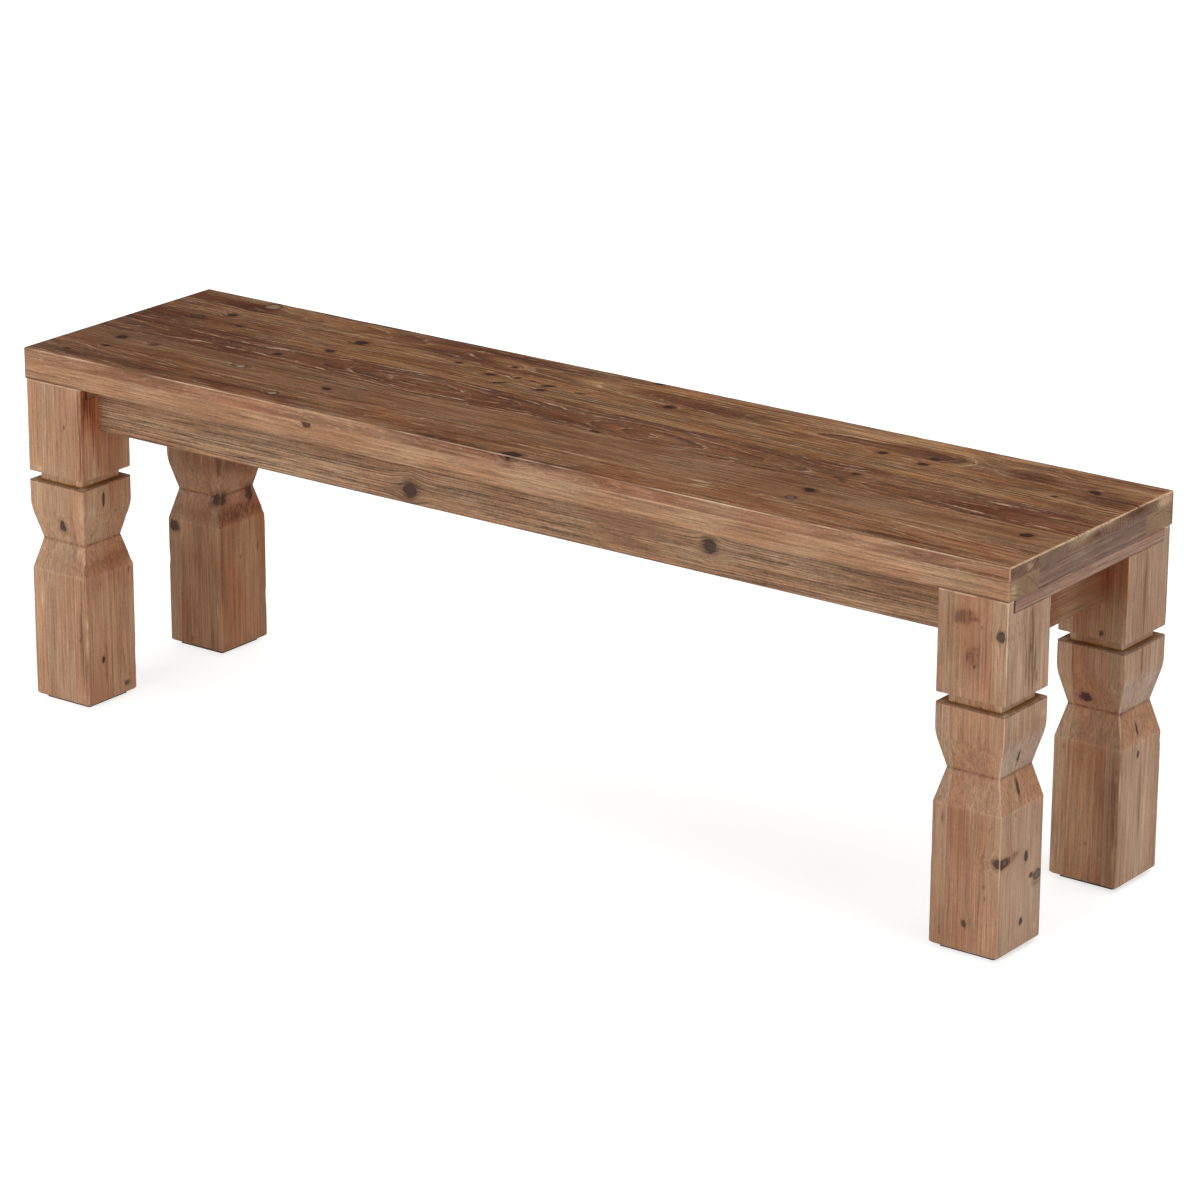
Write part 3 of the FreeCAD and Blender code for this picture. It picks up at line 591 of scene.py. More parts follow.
test_board = dict(ring=3.0, seed=1, steady=0.0, pith_b=[(0, 0)], pith_c=[(0, 0)])
count = grow(test_board, *np.array([[0.0], [0.0], [30.0]]))[0][0] - FIRST_RING
print(f"{count:.1f} rings at 30 mm from the pith, 3 mm a ring")

# %% [markdown]
# ## The surface of a board
#
# A board could be a cube with a bevel, but a real one is never that even: its arrises are rubbed
# round by hand, more here and less there. So the surface is worked out as a grid. One direction
# goes round a rectangle with four round corners, the other goes from end to end and then over the
# sawn ends to their middles. Sides and corners are given at every station along the board, which
# also makes the legs: there the sides move in and out with the height.

# %% Board surface
ROUND = 4
QUARTER = math.pi / 2


def go_round(counts):
    """The way round a rounded rectangle, as a corner number, an angle and a share for each point.

    Corner k turns by 90 degrees, from 180 + 90 k, in ROUND steps. A point on the side after it lies
    between its end and the start of the next corner, at the share given. Counts are the steps that
    each side is divided into."""
    corner, angle, share = [], [], []
    for number, count in enumerate(counts):
        turn = math.pi + number * QUARTER
        steps = np.linspace(0, QUARTER, ROUND + 1)
        inner = np.arange(1, count) / count
        corner += [number] * (len(steps) + len(inner))
        angle += [*(turn + steps), *[turn + QUARTER] * len(inner)]
        share += [*[0.0] * len(steps), *inner]
    return np.array(corner), np.array(angle), np.array(share)


def sections(sides, radii, chamfer, counts):
    """All cross-sections at once, as (stations, points, 2).

    sides is (stations, 4): low b, high b, low c, high c. A corner point is the corner's centre plus
    radius times (cos, sin) of its angle, or, where chamfered, the same share along the chord. A side
    point is (1 - share) of the last corner's end plus share of the next corner's start."""
    corner, angle, share = go_round(counts)
    low_b, high_b, low_c, high_c = sides.T[..., None]
    first, second, third, fourth = radii.T[..., None]
    centres_b = np.hstack([low_b + first, high_b - second, high_b - third, low_b + fourth])
    centres_c = np.hstack([low_c + first, low_c + second, high_c - third, high_c - fourth])
    following = (corner + 1) % 4
    start = math.pi + corner * QUARTER
    turned = np.clip((angle - start) / QUARTER, 0, 1)
    flat = chamfer[:, corner]
    places = []
    for centres, wave in ((centres_b, np.cos), (centres_c, np.sin)):
        chord = (1 - turned) * wave(start) + turned * wave(start + QUARTER)
        here = centres[:, corner] + radii[:, corner] * ((1 - flat) * wave(angle) + flat * chord)
        there = centres[:, following] + radii[:, following] * wave(angle)
        places.append(here + (there - here) * share)
    return np.stack(places, -1)


print("points round a 66 x 15 mm board:", len(go_round((30, 6, 33, 6))[0]))

# %% [markdown]
# The mesh is made from whole arrays. Its points are the rows of the grid and a pole at each end.
# Everything that the wood's material needs to know is worked out for those points and kept with
# the mesh as four attributes of three numbers each.

# %% Board mesh
# Where grain coordinates (a, b, c) lie in the bench's own x, y, z
GRAIN_AXES = {"x": (0, 1, 2), "y": (1, 2, 0), "z": (2, 0, 1)}
CAP_ROWS = 9
SHARP_ANGLE = 38


def closed_mesh(name, places, count, around):
    """A mesh of count rows, each a ring of points closed on itself, and a pole for each end: quads
    from row to row, and a fan of triangles from an end row to its pole."""
    row, column = np.meshgrid(np.arange(count - 1), np.arange(around), indexing="ij")
    after = (column + 1) % around
    quads = np.stack([row * around + column, row * around + after,
                      (row + 1) * around + after, (row + 1) * around + column], -1).reshape(-1, 4)
    ring = np.arange(around)
    last = (count - 1) * around + ring
    low = np.stack([np.full(around, count * around), np.roll(ring, -1), ring], -1)
    high = np.stack([np.full(around, count * around + 1), last, np.roll(last, -1)], -1)
    corners = np.concatenate([quads.ravel(), low.ravel(), high.ravel()])
    sizes = np.concatenate([np.full(len(quads), 4), np.full(2 * around, 3)])

    mesh = bpy.data.meshes.new(name)
    mesh.vertices.add(len(places))
    mesh.vertices.foreach_set("co", places.ravel())
    mesh.loops.add(len(corners))
    mesh.polygons.add(len(sizes))
    mesh.polygons.foreach_set("loop_start", np.concatenate([[0], np.cumsum(sizes)[:-1]]))
    mesh.polygons.foreach_set("vertices", corners)
    mesh.update(calc_edges=True)
    mesh.shade_smooth()
    mesh.set_sharp_from_angle(angle=math.radians(SHARP_ANGLE))
    return mesh


def make_board(board, stations, sides, radii, counts, cut, arris_distance, chamfer=None, tinting=None):
    """Builds one board and gives its object. Stations are places along the grain, and sides, radii,
    cut and chamfer have one row for each.

    The ends are closed by rows of the same outline shrunk towards its middle, and one last point.
    Arris distance and tinting are functions of a, b, c: how near an arris is, and how much the wood is
    greyed and made to glow, which on the legs is painted light."""
    if chamfer is None:
        chamfer = np.zeros_like(radii)
    outline = sections(sides, radii, chamfer, counts)
    shrink = np.linspace(0, 1, CAP_ROWS + 2)[1:-1]
    caps = []
    for end, scale in ((0, shrink), (-1, shrink[::-1])):
        middle = outline[end].mean(0)
        caps.append(middle + (outline[end] - middle) * scale[:, None, None])
    grid = np.concatenate([caps[0], outline, caps[1]])
    count, around = grid.shape[:2]
    flat = np.ones(CAP_ROWS)
    rows_a = np.concatenate([flat * stations[0], stations, flat * stations[-1]])
    rows_cut = np.concatenate([flat, cut, flat])
    poles = [grid[0].mean(0), grid[-1].mean(0)]
    a = np.append(np.repeat(rows_a, around), [stations[0], stations[-1]])
    b = np.append(grid[..., 0].ravel(), [pole[0] for pole in poles])
    c = np.append(grid[..., 1].ravel(), [pole[1] for pole in poles])
    all_cut = np.append(np.repeat(rows_cut, around), [1, 1])

    places = np.empty((len(a), 3))
    for axis, values in zip(GRAIN_AXES[board["grain"]], (a, b, c)):
        places[:, axis] = values * MM
    mesh = closed_mesh(board["name"], places, count, around)

    rings, bent, near, tone = grow(board, a, b, c)
    on_grid = np.stack([a, b, c], -1)[:-2].reshape(count, around, 3)
    pitch = np.append(ring_pitch(rings[:-2].reshape(count, around), on_grid).ravel(), [board["ring"]] * 2)
    facts = {
        "growth": (rings, boldness(board, a, b, c), tinting(a, b, c) if tinting else a * 0),
        "grain": tuple(bent),
        "facts": (near, tone, arris_distance(a, b, c)),
        "marks": (shading(board, a, b, c), all_cut, pitch),
    }
    for name, values in facts.items():
        layer = mesh.attributes.new(name, "FLOAT_VECTOR", "POINT")
        layer.data.foreach_set("vector", np.stack(values, -1).ravel())

    piece = bpy.data.objects.new(board["name"] + "_board", mesh)
    bpy.context.scene.collection.objects.link(piece)
    mesh.materials.append(board_material(board["name"] + "_wood", board["palette"], board["seed"],
                                         board.get("tint", 1.0)))
    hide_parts(board["name"])
    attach(piece, "root")
    return piece


print("a board's ends are closed by", CAP_ROWS, "rows and a pole each")

# %% [markdown]
# ## The five top planks
#
# They are glued edge to edge, so only a fine groove shows between them. The outer arrises and both
# ends are rounded by hand. The knots are listed once for the whole seat, as measured from its left
# end and its back edge, and each goes to the plank it falls on.

# %% Seat marks


def on_seat(from_left, from_back, radius, tone=1.0, **more):
    """A knot through the top, placed from the seat's left end and back edge."""
    return dict(at=(from_left - END, BACK - from_back, SEAT_TOP), radius=radius, tone=tone, **more)


SEAT_KNOTS = [
    on_seat(125, 18.5, 10, 0.3, stretch=1.2), on_seat(109, 79, 5.5), on_seat(320, 81, 6.5),
    on_seat(470, 78, 3.5), on_seat(78, 109, 7, 0.7), on_seat(150, 114, 3.5, 0.8),
    on_seat(312, 132, 5, 0.8), on_seat(270, 182, 4), on_seat(67, 239, 5.5), on_seat(122, 241, 4, 0.7),
    on_seat(269, 250, 5.5, 0.3), on_seat(76, 279, 3.5, 0.8), on_seat(414, 262, 4.5),
    on_seat(374, 314, 5.5, 0.3), on_seat(47, 318, 3, 0.8), on_seat(532, 95, 3.4, stretch=2.2, turn=22),
    on_seat(567, 87, 3, stretch=1.5, turn=40), on_seat(589, 87, 2.4),
    on_seat(561, 117, 3.4, stretch=2.2, turn=38), on_seat(617, 93, 4.2, stretch=1.7, turn=40),
    on_seat(620, 111, 3.4, stretch=1.8, turn=25), on_seat(536, 52, 3.2),
    on_seat(666, 95, 2.2, 0.7, stretch=3.5, turn=20), on_seat(784, 76, 5.6), on_seat(719, 4, 4.5),
    dict(at=(752 - END, -BACK + 7, SEAT_TOP - 2), radius=8.5, tone=1.0, stretch=1.2, through="ball"),
    on_seat(773, 211, 3.2, stretch=2), on_seat(1085, 78, 4.5), on_seat(1146, 63, 4), on_seat(1146, 88, 4.5),
    on_seat(1106, 165, 4, 0.8), on_seat(1098, 246, 5.5), on_seat(1096, 281, 5.0, 0.6),
    on_seat(1376, 239, 5.5), on_seat(1356, 62, 5.5, 0.9), on_seat(1328, 101, 3, 0.8),
]
TOP_REACH = 5


def on_top(from_left, from_back, half_length, half_width, strength):
    """A patch of the top that is darker, or barer below zero."""
    return (from_left - END, BACK - from_back, SEAT_TOP, half_length, half_width, TOP_REACH, strength)


SEAT_MARKS = [
    on_top(0, 173, 170, 400, 0.25), on_top(1388, 82, 38, 22, 0.6), on_top(981, 293, 15, 3, -0.9),
    on_top(988, 307, 13, 6, -0.75), on_top(305, 320, 170, 3, 0.6), on_top(60, 327, 60, 9, 0.5),
    on_top(180, 327, 45, 8, 0.55), on_top(290, 328, 60, 9, 0.6), on_top(400, 331, 50, 7, 0.45),
    on_top(520, 322, 45, 3, 0.5), on_top(640, 336, 70, 6, 0.4), on_top(845, 332, 22, 8, 0.45),
    on_top(1255, 330, 38, 5, 1.2), on_top(1190, 334, 50, 4, 0.5), on_top(1200, 300, 260, 40, -0.3),
    on_top(713, 200, 48, 10, 0.6), on_top(105, 33, 30, 12, 0.55), on_top(350, 28, 75, 17, 0.5),
    on_top(30, 120, 60, 20, 0.6), on_top(222, 96, 34, 9, -0.34), on_top(1007, 86, 24, 7, -0.34),
    on_top(1172, 124, 26, 7, -0.34), on_top(1300, 124, 26, 6, -0.34), on_top(1120, 20, 190, 16, -0.3),
    # The dark lines along the top's back and left arrises are painted shade on arrises turned from the light
    on_top(711, 0, 3000, 1.5, 1.2), on_top(0, 173, 1.5, 900, 1.2), on_top(750, 345, 120, 5, 0.75),
    on_top(60, 178, 35, 1.8, -0.7), on_top(54, 200, 32, 3, -0.6), on_top(292, 160, 38, 2, -0.6),
    on_top(391, 196, 24, 2, -0.6), on_top(165, 201, 60, 2, -0.6), on_top(1395, 76, 30, 2.5, 1.2),
]
CUT_REACH = 2


def on_right_end(from_front, down, half_width, half_height, strength):
    """A patch of the right end's sawn face that is darker, or barer below zero."""
    return (END, from_front - BACK, SEAT_TOP - down, CUT_REACH, half_width, half_height, strength)


# The pale line along the end's upper arris lies across the bench and not on one spot of it
END_ARRIS_LINE = (END - 0.6, 0, SEAT_TOP - 0.6, 1.2, 900, 1.2, -1.6)
RIGHT_END_MARKS = [
    on_right_end(10, 6, 22, 14, 0.4), on_right_end(40, 9, 9, 5, -0.9), on_right_end(85, 6, 34, 14, 0.35),
    on_right_end(166, 5, 52, 10, -0.75), END_ARRIS_LINE, on_right_end(178, 9, 20, 4.5, 1.2),
    on_right_end(266, 5, 30, 8, 0.75), on_right_end(326, 7, 18, 9, -1.0), on_right_end(7, 27, 9, 12, -0.8),
    on_right_end(36, 27, 20, 14, 0.25),
]
print(len(SEAT_KNOTS), "knots in the seat")

# %% [markdown]
# The middle plank and the back one are flat-sawn, and their tall arches and long ovals are what the
# eye sees first. To put them where the bench has them, the number of rings between the pith and
# the top is noted at each place where a ring line starts, turns or ends, and the depth of the pith
# follows from it. The other three planks show straight lines, with the pith well to one side.

# %% Plank growth
JOINTS = (-BACK, -107, -40, 34, 103, BACK)
FIGURE_RING, LOBE_RING = 5.8, 5.0
FIGURE = ((0, 5.6), (93, 6.0), (190, 6.5), (265, 6.4), (336, 6.0), (376, 5.0), (430, 4.1), (500, 3.3),
          (557, 4.0), (643, 5.0), (704, 6.0), (722, 6.15), (735, 6.0), (785, 5.0), (817, 4.6), (849, 5.0),
          (918, 6.0), (998, 7.0), (1057, 8.0), (1074, 8.2), (1092, 8.0), (1128, 7.0), (1207, 6.0),
          (1300, 5.4), (1422, 4.7))
LOBES = ((0, 4.0), (120, 4.4), (193, 5.0), (235, 6.0), (286, 7.0), (350, 8.2), (385, 8.8), (408, 9.0),
         (470, 8.6), (548, 8.0), (637, 7.0), (711, 6.0), (848, 5.0), (967, 4.0), (1060, 3.4), (1140, 3.3),
         (1168, 4.0), (1181, 5.0), (1193, 6.0), (1210, 6.8), (1235, 6.4), (1270, 5.6), (1318, 7.0),
         (1350, 6.6), (1390, 5.4), (1422, 5.0))


def pith_under(counts, ring):
    """The height of the pith below the top, from pairs of a place from the left end and how many
    rings lie between the two: SEAT_TOP - ring width x count."""
    return [(from_left - END, SEAT_TOP - ring * count) for from_left, count in counts]


PLANKS = [
    dict(palette="brown top", ring=5.6, edge_bold=0.35,
         pith_b=[(-END, 40), (-300, 22), (100, 36), (END, 20)],
         pith_c=[(-END, 240), (-400, 255), (-100, 236), (250, 250), (430, 238), (END, 250)]),
    dict(palette="olive top", ring=6.6, bold=[(0, 0.7)],
         pith_b=[(-END, 30), (END, 45)], pith_c=[(0, 400)]),
    dict(palette="red top", ring=FIGURE_RING, steady=0.3,
         bold=[(-END, 1.3), (200, 1.3), (380, 1.0), (END, 0.95)],
         pith_b=[(-END, -8), (-60, -3), (106, -10), (450, -12), (END, -14)],
         pith_c=pith_under(FIGURE, FIGURE_RING)),
    dict(palette="gold top", ring=6.5, bold=[(0, 1.3)],
         pith_b=[(-END, 160), (END, 140)], pith_c=[(0, 425)]),
    dict(palette="bold top", ring=LOBE_RING, steady=0.3,
         bold=[(-END, 1.4), (350, 1.35), (500, 1.15), (END, 1.15)],
         pith_b=[(-END, 140), (-425, 136), (-300, 142), (-163, 129), (0, 127), (137, 121), (289, 116),
                 (440, 122), (END, 116)],
         pith_c=pith_under(LOBES, LOBE_RING)),
]
print(len(PLANKS), "planks,", [round(back - front) for front, back in zip(JOINTS, JOINTS[1:])], "mm wide")

# %% [markdown]
# The sides of a plank are its joints, drawn in where it ends. Hidden and glued corners stay sharp,
# and the free ones are rubbed round by an amount that wanders along the board.

# %% Planks
PLANK_BOTTOM, RAIL_BOTTOM = 442, 417
SEAT_ARRIS, LEFT_ARRIS = 2.0, 3.4
GLUE_EDGE, TIGHT = 0.35, 0.1
STEP, END_STATIONS = 3.5, 4
JOINT_REACH = 2


def rounded_end(a):
    """How far the rounding of the seat's ends draws the sides of a board in at each a, and that as a
    share of the rounding: radius - sqrt(radius^2 - (radius - distance from the end)^2)."""
    radius = np.where(a < 0, LEFT_ARRIS, SEAT_ARRIS)
    inner = np.clip(radius - (END - np.abs(a)), 0, radius)
    draw_in = radius - np.sqrt(radius**2 - inner**2)
    return draw_in, draw_in / radius


def lengthways(low, high, low_radius=0.0, high_radius=0.0):
    """Stations from end to end: a few on each rounded end and the rest about a step apart."""
    turn = 1 - np.cos(np.linspace(0, QUARTER, END_STATIONS + 1)[:-1])
    middle = np.linspace(low + low_radius, high - high_radius, int((high - low) / STEP))
    first = low + low_radius * turn if low_radius else []
    last = high - high_radius * turn[::-1] if high_radius else []
    return np.concatenate([first, middle, last])


def from_seat_arris(a, b, c):
    """The distance to the nearest outer arris of the seat: of the distances to the end, the long
    edge and the top or the underside, the one in the middle. The lower, left and back arrises have
    been handled less, which counts as being further away."""
    endways = np.minimum(END - a, END + a + 1.5)
    sideways = np.minimum(BACK + b, BACK - b + 1.5)
    level = np.minimum(SEAT_TOP - c, c - RAIL_BOTTOM + 1.1)
    return np.sort([endways, sideways, level], 0)[1]


def seat_edge_greying(a, b, c):
    """How much greyer and paler the seat's upright long edges are made than the top."""
    return np.interp(BACK - np.abs(b), (0.5, 2.5), (0.25, 0.0))


def wear(a, seed, radius, spread=0.3):
    """A rubbed arris: its radius, more here and less there, with a few longer scuffs."""
    scuffs = np.clip(drift(a, a * 0, seed + 5, 90, 1) - 0.5, 0, None)
    return radius * (1 + spread * drift(a, a * 0, seed, 260, 1) + scuffs)


for number, (front, back, plank) in enumerate(zip(JOINTS, JOINTS[1:], PLANKS), 1):
    a = lengthways(-END, END, LEFT_ARRIS, SEAT_ARRIS)
    draw_in, over_end = rounded_end(a)
    at_front, at_back = number == 1, number == len(PLANKS)
    sides = np.stack([front + draw_in * at_front, back - draw_in * at_back,
                      np.full_like(a, PLANK_BOTTOM), SEAT_TOP - draw_in], -1)
    free = np.maximum(wear(a, number, SEAT_ARRIS) - draw_in, TIGHT)
    glued = GLUE_EDGE * (1 + 0.5 * drift(a, a * 0, number + 30, 120, 1))
    tight = np.full_like(a, TIGHT)
    radii = np.stack([tight, tight, free if at_back else glued, free if at_front else glued], -1)
    inside = [knot for knot in SEAT_KNOTS if front - JOINT_REACH <= knot["at"][1] < back + JOINT_REACH]
    plank.update(name=f"seat_plank_{number}", grain="x", slot="seat_top_wood", seed=10 * number,
                 knots=inside, marks=SEAT_MARKS + RIGHT_END_MARKS)
    across = int((back - front) / 2)
    piece = make_board(plank, a, sides, radii, (across // 2, 7, across, 7), over_end, from_seat_arris,
                       tinting=seat_edge_greying)
    print(piece.name, len(piece.data.polygons), "faces,", len(inside), "knots")

# %% [markdown]
# ## The frame under the planks
#
# Two long rails show as the lower strip of the front edge, and two short ones close the ends. They
# are the same surface with other sides. Their lower arris is rounded, their upper one is glued.

# %% Rails
EDGE_RAIL, END_RAIL = 60, 90
WIDEST_ARRIS = 3.5
EDGE_RAIL_STEPS, END_RAIL_STEPS = (24, 12, 20, 12), (12, 30, 12, 30)
# Painted shadow lines where the seat's lower edge meets the legs' tops; the end rails' first mark is the
# same painted shadow above the batten
PAINTED_GAP_SHADOWS = [(side * 665, -BACK, RAIL_BOTTOM + 1.2, 46, 5, 1.0, 2.6) for side in (-1, 1)]
END_RAIL_MARKS = [(-90, RAIL_BOTTOM + 1.2, END, 120, 0.9, 5, 1.5), (70, 430, END, 60, 30, 5, 0.35)]
RAILS = {
    "front": dict(seed=101, ring=4.6, pith_b=[(-END, -190), (END, -176)], pith_c=[(0, 372)], knots=[
        dict(at=(452 - END, -BACK, 441), radius=4.5, tone=0.8, through="b", stretch=1.4)],
        marks=[(432 - END, -BACK, 440, 16, 6, 5, -0.5), *PAINTED_GAP_SHADOWS, *RIGHT_END_MARKS]),
    "back": dict(seed=111, ring=4.6, pith_b=[(-END, 170), (END, 142)], pith_c=[(0, 380)], knots=[
        dict(at=(-380, BACK, 428), radius=5, tone=0.9, through="b"),
        dict(at=(210, BACK, 432), radius=4, tone=0.9, through="b")]),
}
for side, rail in RAILS.items():
    a = lengthways(-END, END, LEFT_ARRIS, SEAT_ARRIS)
    draw_in, over_end = rounded_end(a)
    front_side = side == "front"
    low_b = -BACK + draw_in if front_side else np.full_like(a, BACK - EDGE_RAIL)
    high_b = np.full_like(a, EDGE_RAIL - BACK) if front_side else BACK - draw_in
    sides = np.stack([low_b, high_b, RAIL_BOTTOM + draw_in, np.full_like(a, PLANK_BOTTOM)], -1)
    free = np.maximum(wear(a, rail["seed"], SEAT_ARRIS) - draw_in, TIGHT)
    glued, tight = np.full_like(a, GLUE_EDGE), np.full_like(a, TIGHT)
    order = [free, tight, tight, glued] if front_side else [tight, free, glued, tight]
    radii = np.minimum(np.stack(order, -1), WIDEST_ARRIS)
    rail.update(name=f"seat_edge_rail_{side}", grain="x", palette="edge", slot="seat_frame_wood")
    piece = make_board(rail, a, sides, radii, EDGE_RAIL_STEPS, over_end, from_seat_arris)
    print(piece.name, len(piece.data.polygons), "faces")


def from_end_arris(a, b, c):
    """The distance to an end rail's lower outer arris, the only one that is free."""
    return np.maximum(b - RAIL_BOTTOM, END - np.abs(c))


for side, sign in (("right", 1), ("left", -1)):
    reach = BACK - EDGE_RAIL
    a = lengthways(-reach, reach)
    inner, outer = sorted((sign * (END - END_RAIL), sign * END))
    sides = np.tile([RAIL_BOTTOM, PLANK_BOTTOM, inner, outer], (len(a), 1)).astype(float)
    free = np.minimum(wear(a, 120 + sign, SEAT_ARRIS), WIDEST_ARRIS)
    glued, tight = np.full_like(a, GLUE_EDGE), np.full_like(a, TIGHT)
    order = [tight, tight, glued, free] if sign > 0 else [free, glued, tight, tight]
    radii = np.stack(order, -1)
    rail = dict(name=f"seat_end_rail_{side}", grain="y", palette="grey", slot="seat_frame_wood",
                seed=125 + sign, ring=4.5, pith_b=[(-reach, 380), (reach, 388)],
                pith_c=[(0, sign * (END - 20))], marks=END_RAIL_MARKS)
    piece = make_board(rail, a, sides, radii, END_RAIL_STEPS, a * 0, from_end_arris)
    print(piece.name, len(piece.data.polygons), "faces")

# %% [markdown]
# ## The legs
#
# Each leg is three boards glued face to face and then cut to one profile on all four sides: a
# straight foot, a waist, a cup that bends upright, a groove and a block. The profile is a list of
# heights and how far the sides stand in there. The glue joints stay where they are, and only the
# free sides follow the profile, so each layer is cut exactly as the saw leaves it. The top has a
# notch for the batten, and the inner corner is cut flat for its bolt.

# %% Leg profile
LEG_OUT_X, LEG_OUT_Y, LEG_WIDTH = END - 1.5, BACK - 1.5, 89
LAYERS = {"inner_layer": (0, 20), "core": (20, 69), "outer_layer": (69, 89)}
FOOT, SHOULDER, WAIST, KNEE, KNEE_REACH = 5, 171.5, 211, 252, 9
CUP_TOP, BLOCK_BOTTOM, NOTCH, LEG_TOP, FLAT_BOTTOM = 287.5, 298.5, 402, 417, 357
WAIST_INSET, NECK_INSET, BREAK, TOP_RIM = 10.3, 10, 1, 1.3
SLOPE = WAIST_INSET / (KNEE - WAIST)
# Palette and tint of each layer, the inner one first. The tints are partly the wood's own tone and
# partly painted light, which lightens the front-left leg and evens out how the lamps fall on the others
LAYER_LOOKS = {
    "front_right": (("leg", 0.95), ("pink leg", 0.97), ("leg", 1.02)),
    "front_left": (("leg", 1.1), ("leg", 1.02), ("leg", 1.09)),
    "back_right": (("leg", 0.99), ("pink leg", 0.98), ("leg", 1.0)),
    "back_left": (("pink leg", 1.0), ("pink leg", 1.0), ("leg", 0.98)),
}
NOTCH_STRIP, CORNER_FLAT, LEG_ARRIS, LEG_STEP = 12.5, 12, 2.5, 3

bend = np.linspace(1, 0, 9)
knee = np.stack([KNEE + KNEE_REACH * (1 - 2 * bend), SLOPE * KNEE_REACH * bend**2], -1)
profile = [
    (FOOT, 2), (FOOT + 2, 0), (SHOULDER - 0.8, 0), (SHOULDER, 0.06), (SHOULDER + 0.8, 0.24),
    (WAIST - 0.6, WAIST_INSET - 0.16), (WAIST, WAIST_INSET - 0.05), (WAIST + 0.6, WAIST_INSET - 0.16),
    *knee, (CUP_TOP - BREAK - 0.9, 0), (CUP_TOP - BREAK, 0), (CUP_TOP - 0.3, 0.3), (CUP_TOP, BREAK),
    (CUP_TOP, BREAK + 0.3), (CUP_TOP, NECK_INSET), (BLOCK_BOTTOM, NECK_INSET),
    (BLOCK_BOTTOM, BREAK + 0.3), (BLOCK_BOTTOM, BREAK), (BLOCK_BOTTOM + 0.3, 0.3),
    (BLOCK_BOTTOM + BREAK, 0), (FLAT_BOTTOM, 0), (FLAT_BOTTOM, 0), (NOTCH, 0), (NOTCH, 0),
    (LEG_TOP - TOP_RIM, 0), (LEG_TOP - 0.4, 0.35), (LEG_TOP, TOP_RIM)]
rows = [np.array([*profile[0], 0.0])]
for start, stop in zip(profile, profile[1:]):
    start, stop = np.array(start), np.array(stop)
    steps = max(1, math.ceil(np.abs(stop - start).max() / LEG_STEP))
    level = start[0] == stop[0] and abs(stop[1] - start[1]) > 1
    for step in range(1, steps + 1):
        rows.append(np.append(start + (stop - start) * step / steps, float(level)))
leg_a, leg_inset, leg_cut = np.array(rows).T
notched = np.zeros(len(leg_a), bool)
notched[np.flatnonzero(leg_a == NOTCH)[1]:] = True
flattened = (leg_a >= FLAT_BOTTOM) & ~notched
flattened[np.flatnonzero(leg_a == FLAT_BOTTOM)[0]] = False
print(len(leg_a), "stations up a leg,", int(leg_cut.sum()), "of them on its ledges")

# %% [markdown]
# Knots, chips and patches of painted shade on a leg are noted on its face, as a distance from that
# face's left edge and a height. They are turned into places here, through the layer that carries them.

# %% Leg marks
CORNERS = {"front_right": (1, -1), "front_left": (-1, -1), "back_right": (1, 1), "back_left": (-1, 1)}
BRANCH_DEPTH, FACE_REACH = 14, 6


def leg_box(corner):
    """Low x, low y of a leg's blank."""
    side, depth = CORNERS[corner]
    return (LEG_OUT_X - LEG_WIDTH if side > 0 else -LEG_OUT_X,
            LEG_OUT_Y - LEG_WIDTH if depth > 0 else -LEG_OUT_Y)


def on_leg(corner, face, from_left, height, radius, tone=1.0, stretch=1.3, turn=0, through=None):
    """A knot on the front or the right face of a leg, with the branch running into the leg."""
    x, y = leg_box(corner)
    if face == "front":
        knot = dict(at=(height, x + from_left, y), through=through or "c")
    else:
        knot = dict(at=(height, x + LEG_WIDTH, y + from_left), through=through or "b")
    return dict(knot, radius=radius, tone=tone, stretch=stretch, turn=turn, depth=BRANCH_DEPTH, swell=0.4)


def chip_and_shade_mark(corner, face, from_left, height, tall, wide, strength):
    """A mark on one face of a leg, from that face's left or front edge: a chip or painted shade
    above zero, bare wood or painted light below zero.
    """
    x, y = leg_box(corner)
    if face in ("front", "back"):
        return (height, x + from_left, y + LEG_WIDTH * (face == "back"), tall, wide, FACE_REACH, strength)
    return (height, x + LEG_WIDTH * (face == "right"), y + from_left, tall, FACE_REACH, wide, strength)


print("a leg's blank starts at", {corner: leg_box(corner) for corner in CORNERS})

# %% Knots on the legs
# Face, mm from its left edge, height, radius, and then tone, stretch, turn and through as needed
KNOT_ROWS = {
    "front_right": [
        ("front", 81, 377, 4.8, 0.8), ("front", 43, 349, 2.0, 0.62), ("front", 49, 337, 1.4, 0.8),
        ("front", 52, 351, 1.4, 0.7), ("front", 45, 38, 2.8, 0.8),
        ("front", 88, 117, 8, 0.95, 0.7, 0, "ball"), ("right", 54, 111, 3, 0.9, 2.2),
        ("right", 47, 36, 3.2, 0.9), ("right", 79, 82, 8, 0.68, 0.5, 35), ("right", 66, 85, 4, 0.8, 0.6),
        ("right", 9, 117, 8, 0.72, 0.5, -15), ("right", 41, 196, 2.5, 1.0, 4),
        ("right", 40, 230, 2, 0.9, 4)],
    "back_right": [
        ("front", 36, 224, 7, 1.0, 0.9), ("front", 57, 306, 2.5, 0.8), ("front", 79, 210, 1.5, 0.9),
        ("right", 37, 158, 2.5, 0.9), ("right", 39, 187, 2, 0.9, 3)],
    "front_left": [
        ("front", 50, 233, 4.3, 0.85, 1.9), ("right", 28, 60, 2.2, 0.9, 1.8),
        ("right", 37, 268, 2, 0.9, 4), ("right", 70, 18, 4, 0.7, 0.7)],
    "back_left": [
        ("front", 11, 163, 6, 0.9, 1.3), ("front", 77, 208, 7.5, 1.0, 1.2),
        ("right", 17, 208, 7, 1.0, 1.1), ("right", 66, 204, 8, 0.9, 1.1)],
}
LEG_KNOTS = {corner: [on_leg(corner, *row) for row in rows] for corner, rows in KNOT_ROWS.items()}
